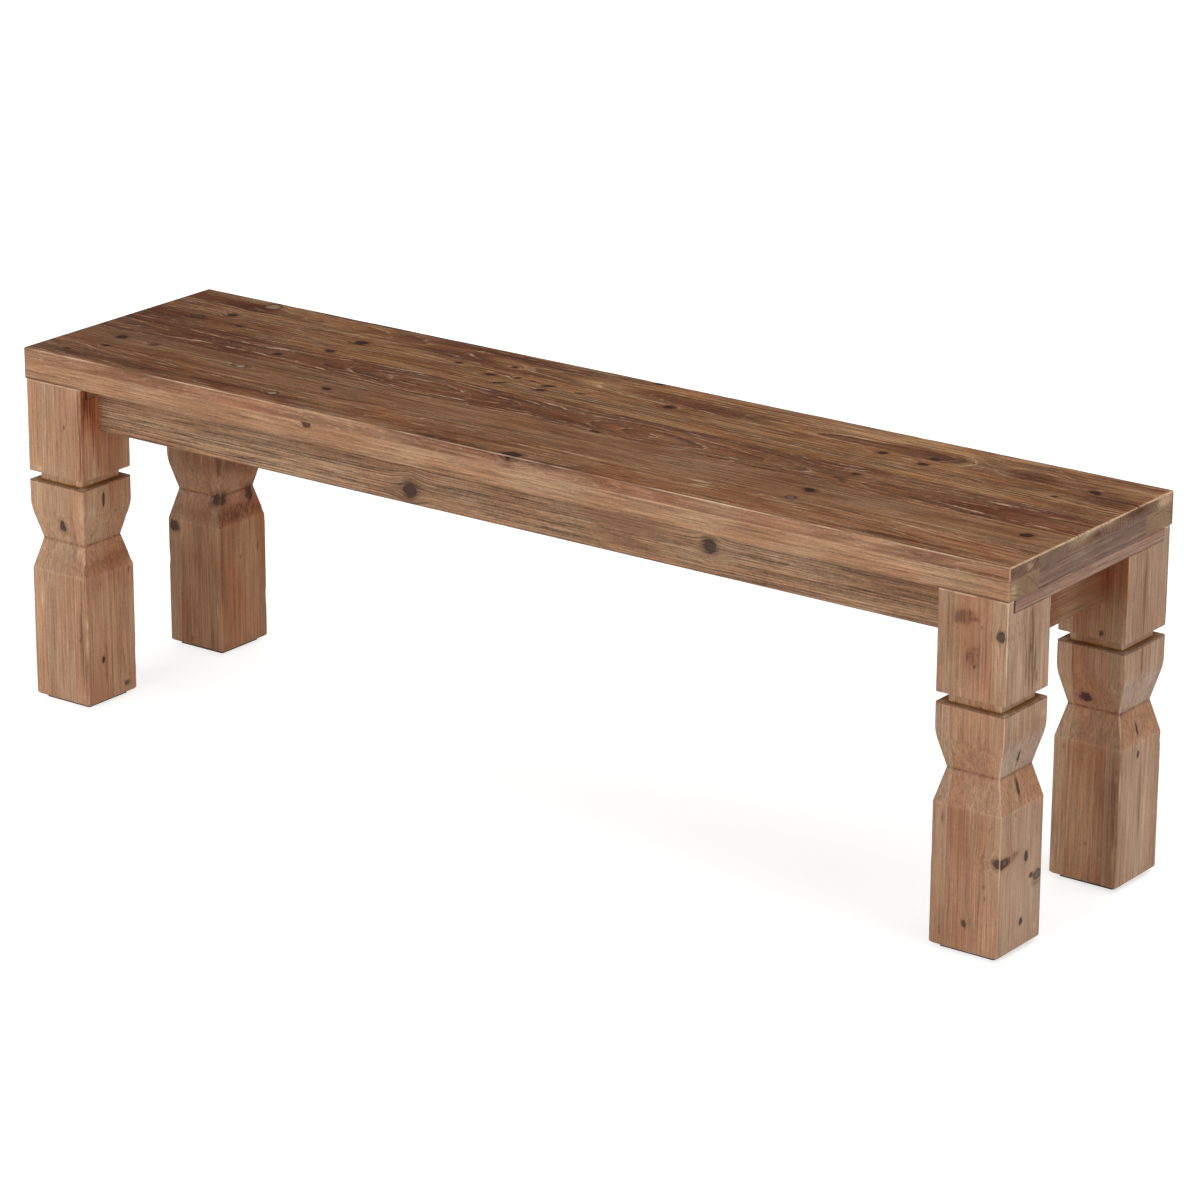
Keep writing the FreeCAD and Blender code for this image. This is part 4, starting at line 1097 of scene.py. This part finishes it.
print(sum(map(len, LEG_KNOTS.values())), "knots on the legs")

# %% [markdown]
# A chip, a dent or a crack is a small dark mark, and rubbed or scraped wood is a pale one. The large
# ones are where the bench has them. Wide faint ones shade a whole face, a slope or an arris: many of
# them are painted shade, and those below zero painted light. Ten small ones a face are thrown at
# random, half of them pale and near an arris, half of them dark. Thin lines of painted shade lie in
# the waist crease and under the groove, and a pale one on the shoulder.

# %% Chips and painted shade on the legs
# Face, mm from its left edge, height, half height, half width, strength
CHIP_AND_SHADE_ROWS = {
    "front_right": [
        ("front", 33, 390, 8, 13, 1.1), ("front", 47, 348, 13, 9, 0.9), ("front", 40, 397, 2, 7, 0.9),
        ("front", 50, 391, 2, 6, 0.9), ("front", 57, 383, 3, 2, 0.9), ("front", 36, 362, 4, 1.2, 0.9),
        ("front", 54, 360, 5, 1.0, 0.9), ("front", 38, 345, 6, 1.2, 1.1), ("front", 48, 356, 1.5, 4, 1.0),
        ("front", 24, 386, 4, 1.5, 1.1), ("front", 31, 391, 2, 3, 1.1), ("front", 52, 341, 5, 1, 1.0),
        ("front", 16, 330, 12, 1.2, -0.9), ("front", 72, 35, 20, 1.2, -0.9),
        ("front", 72, 192, 9, 1.2, -0.9), ("front", 77, 225, 4, 3, -0.7),
        ("front", 70, 87, 2.5, 1.8, 1.4), ("front", 74, 153, 4, 1.2, 1.0),
        ("front", 33, 62, 3, 1.8, -0.9), ("right", 41, 192, 20, 3, 1.0), ("right", 30, 120, 4, 12, 0.7),
        ("right", 14, 116, 5, 14, 1.0), ("right", 80, 83, 4, 12, 0.8), ("right", 76, 72, 3, 10, 0.8),
        ("right", 50, 392, 10, 1.3, 1.7), ("right", 46, 345, 22, 0.9, 1.6),
        ("right", 52, 357, 26, 0.9, 1.6), ("right", 41, 332, 24, 0.9, 1.5),
        ("right", 59, 338, 18, 0.8, 1.4), ("right", 66, 362, 16, 0.8, 1.3),
        ("right", 37, 368, 14, 0.8, 1.3), ("right", 55, 320, 14, 0.8, 1.3),
        ("right", 47, 316, 8, 0.9, 1.4), ("right", 52, 345, 50, 17, 0.42), ("right", 80, 271, 4, 5, -0.9),
        ("right", 76, 22, 3, 5, -0.8), ("front", 30, 100, 110, 45, 0.16)],
    "back_right": [
        ("right", 37, 350, 70, 3.5, 0.8), ("right", 37, 268, 18, 3, 0.7), ("right", 44, 100, 55, 5, 0.7),
        ("front", 40, 190, 12, 30, 0.35), ("front", 12, 178, 4, 6, -0.6),
        ("right", 3, 120, 45, 1.5, -0.9), ("front", 30, 120, 40, 1.2, -0.8),
        ("front", 24, 140, 30, 1.2, -0.8), ("front", 37, 100, 36, 1.2, -0.7),
        # painted shade over the outer layer's front face
        ("front", 82, 90, 100, 14, 0.7), ("front", 82, 350, 45, 14, 0.05)],
    "front_left": [
        ("front", 19, 304, 3, 8, -0.9), ("front", 15, 132, 12, 1.8, -0.8),
        ("front", 39, 70, 22, 1.8, -0.7), ("right", 16, 256, 9, 5, -0.6), ("right", 14, 122, 14, 3, -0.5),
        # painted light over the inner side
        ("right", 45, 85, 85, 70, -0.33), ("right", 45, 250, 34, 70, -0.33),
        # painted shade on the slopes that look up
        ("right", 45, 191, 15, 70, 1.0), ("front", 45, 191, 14, 60, 0.6),
        # painted shade down the front of the inner layer
        ("front", 84, 90, 110, 12, 0.85), ("front", 84, 350, 70, 12, 0.85),
        # painted shade in the corner under the seat by the apron, with thin dark streaks
        ("right", 17, 402, 34, 14, 1.0), ("right", 22, 345, 22, 2, 0.7), ("right", 30, 330, 30, 2, 0.7),
        ("right", 55, 350, 60, 50, 0.25)],
    "back_left": [
        ("front", 88.5, 300, 70, 1.6, 1.1), ("right", 0.5, 300, 70, 1.6, 1.1),
        # a dark line down the arris, then painted shade on the slopes that look up and on the cup
        ("front", 88.5, 130, 70, 1.5, 0.7), ("front", 45, 190, 13, 60, 0.8),
        ("right", 40, 190, 13, 50, 1.9), ("front", 45, 262, 30, 60, 0.5),
        ("right", 45, 262, 30, 60, 0.85)],
}
LEG_CHIPS_AND_SHADE = {corner: [chip_and_shade_mark(corner, *row) for row in rows] for corner, rows in CHIP_AND_SHADE_ROWS.items()}
# Thin lines where the saw cuts meet: painted shade in the waist crease and along the cup's top
# under the groove, and a pale line on the shoulder. Height, half width in mm, strength
CREASE_SHADE_LINES = [(WAIST, 0.9, 0.9), (SHOULDER, 0.8, -0.6), (CUP_TOP - 0.85, 0.5, 2.4)]
PAIRS_A_FACE = 5
chance = np.random.default_rng(77)
for corner, chips_and_shade in LEG_CHIPS_AND_SHADE.items():
    for face in ("front", "back", "left", "right"):
        for _ in range(PAIRS_A_FACE):
            near_edge = chance.choice((chance.uniform(1, 8), chance.uniform(81, 88)))
            chips_and_shade.append(chip_and_shade_mark(corner, face, near_edge, chance.uniform(10, 400), chance.uniform(3, 14),
                              chance.uniform(0.8, 1.6), chance.uniform(-0.95, -0.6)))
            chips_and_shade.append(chip_and_shade_mark(corner, face, chance.uniform(8, 80), chance.uniform(10, 400),
                              chance.uniform(2, 8), chance.uniform(0.8, 1.8), chance.uniform(0.7, 1.3)))
for corner, chips_and_shade in LEG_CHIPS_AND_SHADE.items():
    x, y = leg_box(corner)
    for height, tall, strength in CREASE_SHADE_LINES:
        chips_and_shade.append((height, x + LEG_WIDTH / 2, y + LEG_WIDTH / 2, tall, 900, 900, strength))
print(sum(map(len, LEG_CHIPS_AND_SHADE.values())), "marks on the legs")

# %% [markdown]
# The painted light isn't the same on every face, and neither is the wear. Both are functions of the
# place, made for one leg at a time because they ask which way a face looks.

# %% Wear and painted light on a leg
LITTLE_RUBBED = {"front_left": 0.7, "back_left": 1.2}


def leg_arris_distance(corner):
    """Gives the function that tells how near a leg's free arrises are."""
    x, y = leg_box(corner)

    def distance(a, b, c):
        """The distance to the nearest upright arris, foot rim or top rim of the leg. Two of the four
        upright arrises and all of the left legs' are less rubbed, which counts as further away."""
        half = LEG_WIDTH / 2 - np.interp(a, leg_a, leg_inset)
        beside, before = b - x - LEG_WIDTH / 2, c - y - LEG_WIDTH / 2
        upright = np.maximum(half - np.abs(beside), half - np.abs(before)) + 1.3 * (beside * before > 0)
        upright = upright + LITTLE_RUBBED.get(corner, 0)
        return np.minimum(upright, np.minimum(np.abs(a - FOOT), np.maximum(LEG_TOP - 0.5 - a, 0.5)))

    return distance


def leg_painted_light(corner):
    """Gives the function that tells the painted light on a leg: painted sheen and warm painted glow."""
    side, depth = CORNERS[corner]
    x, y = leg_box(corner)

    def tinting(a, b, c):
        """Painted light by the way a face looks. On the outer sides a painted sheen makes the whole side,
        and most of all the slope that looks down, paler and greyer, and the slope that looks up takes a
        warm painted glow. On the front and the back the slope that looks up is a little greyer. The sides
        that look in under the seat take a warm painted glow of bounced light, and every face that looks
        in takes more of it towards the top, most of all near the aprons."""
        looks_up = np.interp(a, (SHOULDER - 1, SHOULDER + 1, WAIST - 1, WAIST + 1), (0, 1, 1, 0))
        looks_down = np.interp(a, (WAIST - 1, WAIST + 1, KNEE - 8, KNEE + 8), (0, 1, 1, 0))
        beside, before = b - x - LEG_WIDTH / 2, c - y - LEG_WIDTH / 2
        on_side = np.abs(beside) > np.abs(before)
        looks_in = np.where(on_side, beside * side < 0, before * depth < 0)
        glow = looks_in * np.interp(a, (290, 345, 365), (0.05, 0.25, 0.6))
        outer = 0.2 + 0.4 * looks_down - 0.4 * looks_up
        inner = 0.1 * looks_down - 0.15 * looks_up - 0.2
        return np.where(on_side, np.where(looks_in, inner, outer), 0.1 * looks_up) - glow

    return tinting


# The painted light on a foot's outer side, a painted sheen there
print("haze of a foot's outer side:", leg_painted_light("front_right")(*np.array([[90.0], [END], [-BACK + 45]]))[0])

# %% [markdown]
# The outer boards of a leg are flat-sawn and the middle one stood upright in the log, so the pith
# lies beside the outer ones and before or behind the middle one, a little differently each time.

# %% Legs


def make_leg_layer(corner, layer, number):
    """One of a leg's three boards. Its glued sides stay where they are and its free ones follow the
    profile. The top is cut down to a strip behind the notch, and the inner layer's inner corner is
    cut flat."""
    side, depth = CORNERS[corner]
    x, y = leg_box(corner)
    near, far = LAYERS[layer]
    low_b, high_b = (x + near, x + far) if side > 0 else (x + LEG_WIDTH - far, x + LEG_WIDTH - near)
    free_low, free_high = low_b == x, high_b == x + LEG_WIDTH
    low_c, high_c = y + leg_inset, y + LEG_WIDTH - leg_inset
    if depth < 0:
        high_c = np.where(notched, y + NOTCH_STRIP, high_c)
    else:
        low_c = np.where(notched, y + LEG_WIDTH - NOTCH_STRIP, low_c)
    sides = np.stack([low_b + leg_inset * free_low, high_b - leg_inset * free_high, low_c, high_c], -1)
    radii = np.full((len(leg_a), 4), GLUE_EDGE * 0.7)
    chamfer = np.zeros_like(radii)
    for arris, free in enumerate((free_low, free_high, free_high, free_low)):
        if free:
            radii[:, arris] = np.clip(wear(leg_a, 200 + 7 * number + arris, LEG_ARRIS, 0.2), 0.5, 4.5)
    if layer == "inner_layer":
        inner_arris = {(1, -1): 3, (-1, -1): 2, (1, 1): 0, (-1, 1): 1}[(side, depth)]
        radii[flattened, inner_arris] = CORNER_FLAT
        chamfer[flattened, inner_arris] = 1

    palette, tint = LAYER_LOOKS[corner][list(LAYERS).index(layer)]
    random = np.random.default_rng(300 + number)
    middle_b, middle_c = (low_b + high_b) / 2, y + LEG_WIDTH / 2
    aside = random.choice((-1, 1))
    if layer == "core":
        away_b, away_c = random.uniform(-8, 8), aside * random.uniform(60, 80)
    else:
        away_b, away_c = aside * random.uniform(60, 90), random.uniform(-15, 15)
    pith_b, pith_c = middle_b + away_b, middle_c + away_c
    board = dict(
        name=f"leg_{corner}_{layer}", grain="z", palette=palette, tint=tint, slot="leg_wood",
        seed=200 + number, ring=random.uniform(3.2, 5.0), knots=LEG_KNOTS[corner],
        marks=LEG_CHIPS_AND_SHADE[corner], steady=0.4,
        pith_b=[(0, pith_b), (LEG_TOP, pith_b + random.uniform(-5, 5))],
        pith_c=[(0, pith_c), (LEG_TOP, pith_c + random.uniform(-5, 5))])
    wide, face, hidden = int((high_b - low_b) / 2), 42, 6
    counts = (wide, face if free_high else hidden, wide, face if free_low else hidden)
    return make_board(board, leg_a, sides, radii, counts, leg_cut, leg_arris_distance(corner), chamfer,
                      leg_painted_light(corner))


for number, (corner, layer) in enumerate(itertools.product(CORNERS, LAYERS)):
    piece = make_leg_layer(corner, layer, number)
    print(piece.name, len(piece.data.polygons), "faces")

# %% [markdown]
# ## Boards that keep their CAD shape
#
# The aprons, battens, brace and the rest are right as they are, with their holes. Their meshes are
# not touched, so they carry no attributes: the same growth is worked out in nodes from the object's
# own coordinates. A small group does the pith's part, and another does one knot, as often as needed.

# %% Growth in nodes
pith_group, wire, given, result = new_group(
    "Sawn board", {"Grain": "Vector", "Pith": "Vector", "Ring width": "Float", "Seed": "Float"},
    {"Rings": "Float"})
flat_grain = wire.vector("MULTIPLY", wire.vector("SUBTRACT", given["Grain"], given["Pith"]), (0, 1, 1))
distance = wire.vector("LENGTH", flat_grain, (0, 0, 0), output="Value")
count = wire.maths("DIVIDE", distance, given["Ring width"])
slow = wire.vector("MULTIPLY", given["Grain"], (0.0035, 0.02, 0.02))
sway = wire.noise(wire.vector("ADD", slow, wire.combine(given["Seed"], 0.0, 0.0)), detail=2.0)
wire.feed(result["Rings"], wire.times_plus(sway, 2.4, count))

knot_group, wire, given, result = new_group(
    "Knot in a board", {"Grain": "Vector", "Middle": "Vector", "Reach": "Vector", "Nearest": "Float"},
    {"Grain": "Vector", "Nearest": "Float"})
away = wire.vector("SUBTRACT", given["Grain"], given["Middle"])
near = wire.vector("LENGTH", wire.vector("MULTIPLY", away, given["Reach"]), (0, 0, 0), output="Value")
give = wire.maths("EXPONENT", wire.times(wire.times(near, near), -0.25))
give = wire.times(give, 0.8)
pull = wire.vector("MULTIPLY", away, wire.combine(0.0, give, give))
wire.feed(result["Grain"], wire.vector("SUBTRACT", given["Grain"], pull))
wire.feed(result["Nearest"], wire.maths("MINIMUM", near, given["Nearest"]))


def cad_wood(name, palette, seed, grain_axis, pith, ring, knots=(), painted_end_shade=None, painted_top_shadow=None):
    """Wood for a CAD node. Each knot is (middle, reach): places in mm along, across and deep, and
    one over its radius each way, zero in the direction the branch runs in. The painted end shade
    darkens the wood from one distance to another along the grain, as painted shade towards the legs:
    (start, stop, strength). The painted top shadow darkens it from one height to another, as the
    seat's painted shadow: (low, high, shade below, shade above)."""
    material, wire = blank_material(name)
    place = wire.node("ShaderNodeTexCoord").outputs["Object"]
    millimetres = wire.separate(wire.vector("MULTIPLY", place, (1000, 1000, 1000)))
    order = GRAIN_AXES[grain_axis]
    grain = wire.combine(*[millimetres[axis] for axis in order])
    nearest = FAR
    for middle, reach in knots:
        knot = wire.node("ShaderNodeGroup", node_tree=knot_group)
        for key, value in {"Grain": grain, "Middle": middle, "Reach": reach, "Nearest": nearest}.items():
            wire.feed(knot.inputs[key], value)
        grain, nearest = knot.outputs["Grain"], knot.outputs["Nearest"]
    rings = wire.node("ShaderNodeGroup", node_tree=pith_group)
    for key, value in {"Grain": grain, "Pith": pith, "Ring width": ring, "Seed": float(seed)}.items():
        wire.feed(rings.inputs[key], value)
    slow = wire.vector("MULTIPLY", grain, (0.003, 0.02, 0.02))
    slow = wire.vector("ADD", slow, wire.combine(0.0, float(seed), 0.0))
    shade = 0.0
    if painted_end_shade:
        start, stop, strength = painted_end_shade
        from_middle = wire.maths("ABSOLUTE", wire.separate(grain)[0])
        shade = wire.ease(from_middle, start, stop, 0.0, strength)
    if painted_top_shadow:
        shade = wire.ease(millimetres[2], *painted_top_shadow)
    wood_shader(wire, palette, seed, {
        "Rings": rings.outputs[0], "Pitch": float(ring), "Greying and glow": 0.0,
        "Boldness": wire.ease(wire.noise(slow), 0.3, 0.7, 0.4, 1.2),
        "Grain": grain, "Knot": nearest, "Knot tone": 1.0, "Arris": FAR, "Shade": shade, "Cut": 0.0})
    return material


def dress(node, material):
    """Puts a material into every slot of a CAD node."""
    mesh = nodes[node].data
    for slot in range(len(mesh.materials)):
        mesh.materials[slot] = material


print("two node groups for growth")

# %% [markdown]
# The long aprons have two knots each. The front apron has a painted shadow just under the seat, and
# the end aprons have painted shade towards the legs, on the glow palette's painted warm light. The
# hidden blocks and dowels are plain, unstained wood.

# %% CAD boards
FRONT_KNOTS = [((-132, -138, 374.2), (1 / 9, 0, 1 / 9)), ((297.3, -138, 390.6), (1 / 8.5, 0, 1 / 7.5))]
BACK_KNOTS = [((-301, 138, 380), (1 / 8, 0, 1 / 7)), ((85, 138, 369), (1 / 6, 0, 1 / 6))]
# Painted shade on the end aprons towards the legs, and the seat's painted shadow along the front apron's top
PAINTED_SHADE_BY_LEGS = (-20, 75, 0.9)
PAINTED_SHADOW_UNDER_SEAT = (370, 408, 0.14, 0.4)
# Node: palette, seed, grain axis, pith, ring width, and more where it has it
CAD_BOARDS = {
    "front_apron": ("apron", 31, "x", (0, -120, 315), 2.9, dict(knots=FRONT_KNOTS, painted_top_shadow=PAINTED_SHADOW_UNDER_SEAT)),
    "back_apron": ("apron", 32, "x", (0, 118, 300), 3.8, dict(knots=BACK_KNOTS)),
    "end_apron_right": ("glow", 33, "y", (0, 300, 660), 3.6, dict(painted_end_shade=PAINTED_SHADE_BY_LEGS)),
    "end_apron_left": ("glow", 34, "y", (0, 305, -668), 3.6, dict(painted_end_shade=PAINTED_SHADE_BY_LEGS)),
    "centre_brace": ("apron", 35, "y", (0, 330, 5), 2.5, {}),
    "seat_centre_rail": ("apron", 36, "y", (0, 350, 5), 2.8, {}),
    "end_batten_right": ("batten", 37, "y", (0, 350, 650), 4.4, {}),
    "end_batten_left": ("glow", 38, "y", (0, 345, -650), 4.4, {}),
}
for number, corner in enumerate(CORNERS):
    CAD_BOARDS[f"corner_block_{corner}"] = ("plain", 40 + number, "z", (0, 30, 20), 2.8, {})
for node in ("apron_dowels", "brace_dowels"):
    CAD_BOARDS[node] = ("plain", 45, "x", (0, 60, 40), 1.6, {})
for node, (palette, seed, grain_axis, pith, ring, more) in CAD_BOARDS.items():
    dress(node, cad_wood(f"{node}_wood", palette, seed, grain_axis, pith, ring, **more))
print(len(CAD_BOARDS), "nodes of aprons, battens, blocks and dowels dressed")

# %% [markdown]
# ## Steel and rubber
#
# The bolts, washers and nuts are bright zinc, the screws a duller yellow steel, and the feet stand
# on dark rubber pads. Each gets a little noise: tarnish on the metal, dust on the rubber.

# %% Metal and rubber


def plain_material(name, colour, second, metallic, roughness, scale, bump):
    """Two colours mottled by noise, with the same noise in the roughness and the bump. Scale is the
    noise's, in spots a metre, and bump is its depth in m."""
    material, wire = blank_material(name)
    place = wire.node("ShaderNodeTexCoord").outputs["Object"]
    mottle = wire.noise(place, detail=4.0, roughness=0.6, scale=scale)
    colour = wire.mix(wire.ease(mottle, 0.35, 0.7), linear(*colour), linear(*second))
    rough = wire.ease(mottle, 0.2, 0.8, roughness * 0.8, min(1.0, roughness * 1.25))
    relief = wire.node("ShaderNodeBump", {"Height": mottle, "Strength": 0.4, "Distance": bump})
    shader = wire.node("ShaderNodeBsdfPrincipled", {
        "Base Color": colour, "Metallic": metallic, "Roughness": rough, "Normal": relief.outputs["Normal"]})
    wire.node("ShaderNodeOutputMaterial", {"Surface": shader.outputs[0]})
    return material


zinc = plain_material("zinc_plated_steel", (188, 190, 192), (150, 152, 156), 1.0, 0.35, 400, 0.00002)
screw_steel = plain_material("screw_steel", (176, 152, 96), (132, 112, 74), 1.0, 0.4, 500, 0.00002)
rubber = plain_material("pad_rubber", (44, 42, 41), (70, 67, 64), 0.0, 0.8, 300, 0.0001)
for node in ("hanger_bolts", "hanger_bolt_washers", "hanger_bolt_nuts"):
    dress(node, zinc)
for node in ("corner_block_screws", "leg_screws", "batten_screws", "apron_screws", "brace_screws"):
    dress(node, screw_steel)
for corner in CORNERS:
    dress(f"foot_pad_{corner}", rubber)
print("metal and rubber dressed")

# %% [markdown]
# ## Floor and light
#
# The bench stands on a white sweep. The floor's colour alone can't make it white without also
# brightening the bench, so it looks white to the camera only: there it gives off light of its own,
# less near the bench than further out. It keeps a diffuse part, so the bench still throws its
# faint shadow on it.

# %% Floor
FLOOR_SIZE = 60
NEAR_WHITE, FAR_WHITE, LEFT_LIGHTER = 0.68, 0.97, 0.045
ground = bpy.data.meshes.new("floor")
half = FLOOR_SIZE / 2
square = [(-half, -half, 0), (half, -half, 0), (half, half, 0), (-half, half, 0)]
ground.from_pydata(square, [], [(0, 1, 2, 3)])
floor = bpy.data.objects.new("floor", ground)
bpy.context.scene.collection.objects.link(floor)
material, wire = blank_material("white_floor")
place = wire.node("ShaderNodeTexCoord").outputs["Object"]
from_middle = wire.vector("LENGTH", place, (0, 0, 0), output="Value")
paler = wire.ease(from_middle, 1.0, 3.0, NEAR_WHITE, FAR_WHITE)
paler = wire.plus(paler, wire.ease(wire.separate(place)[0], -0.6, 0.6, LEFT_LIGHTER, -LEFT_LIGHTER))
matt = wire.node("ShaderNodeBsdfDiffuse", {"Color": (0.8, 0.8, 0.8, 1)})
seen_matt = wire.node("ShaderNodeBsdfDiffuse", {"Color": (0.73, 0.73, 0.73, 1)})
lift = wire.node("ShaderNodeEmission", {"Color": (1, 1, 1, 1), "Strength": paler})
seen = wire.node("ShaderNodeAddShader", {0: seen_matt.outputs[0], 1: lift.outputs[0]})
rays = wire.node("ShaderNodeLightPath")
choice = wire.node("ShaderNodeMixShader", {
    0: rays.outputs["Is Camera Ray"], 1: matt.outputs[0], 2: seen.outputs[0]})
wire.node("ShaderNodeOutputMaterial", {"Surface": choice.outputs[0]})
ground.materials.append(material)
print("floor", FLOOR_SIZE, "m wide")

# %% [markdown]
# Upright faces are bright in the photograph and the top is darker, so most of the light comes from
# large soft lamps that stand low: one in front, a cooler one to the right and a weaker one behind. A
# small one overhead helps to draw the faint shadow. The world is white where it is seen or mirrored, and
# dim where it lights the bench.

# %% World and lamps
SKY = 0.34
world = bpy.data.worlds.new("studio")
world.use_nodes = True
world.node_tree.nodes.clear()
wire = Wiring(world.node_tree)
rays = wire.node("ShaderNodeLightPath")
shown = wire.maths("MAXIMUM", rays.outputs["Is Camera Ray"],
                   wire.maths("MAXIMUM", rays.outputs["Is Glossy Ray"], rays.outputs["Is Transmission Ray"]))
strength = wire.times_plus(shown, 1 - SKY, SKY)
sky = wire.node("ShaderNodeBackground", {"Color": (1, 1, 1, 1), "Strength": strength})
wire.node("ShaderNodeOutputWorld", {"Surface": sky.outputs[0]})
bpy.context.scene.world = world


def soft_lamp(name, at, wide, tall, power, colour=(1, 1, 1)):
    """A rectangular area lamp that faces the middle of the bench."""
    lamp = bpy.data.lights.new(name, "AREA")
    lamp.shape = "RECTANGLE"
    lamp.size = wide
    lamp.size_y = tall
    lamp.energy = power
    lamp.color = colour
    shown = bpy.data.objects.new(name, lamp)
    bpy.context.scene.collection.objects.link(shown)
    shown.location = at
    shown.rotation_euler = (Vector((0, 0, 0.25)) - Vector(at)).to_track_quat("-Z", "Y").to_euler()
    shown.visible_camera = False
    return shown


soft_lamp("front_lamp", (-1.0, -4.7, 1.1), 4.4, 1.8, 166)
soft_lamp("right_lamp", (8.0, -1.3, 0.6), 4.6, 1.2, 296, (0.92, 0.97, 1.0))
soft_lamp("overhead_lamp", (1.2, 0.2, 2.6), 2.0, 2.0, 20.5)
soft_lamp("back_lamp", (-3.0, 5.5, 1.6), 4.0, 2.0, 70).visible_glossy = False
print("world", SKY, "and four lamps")

# %% [markdown]
# ## Finish
#
# The plain view transform shows colours as they are, and the CAD model's box is printed.

# %% Finish
bpy.context.scene.view_settings.view_transform = "Standard"
print("CAD box", cad_box)
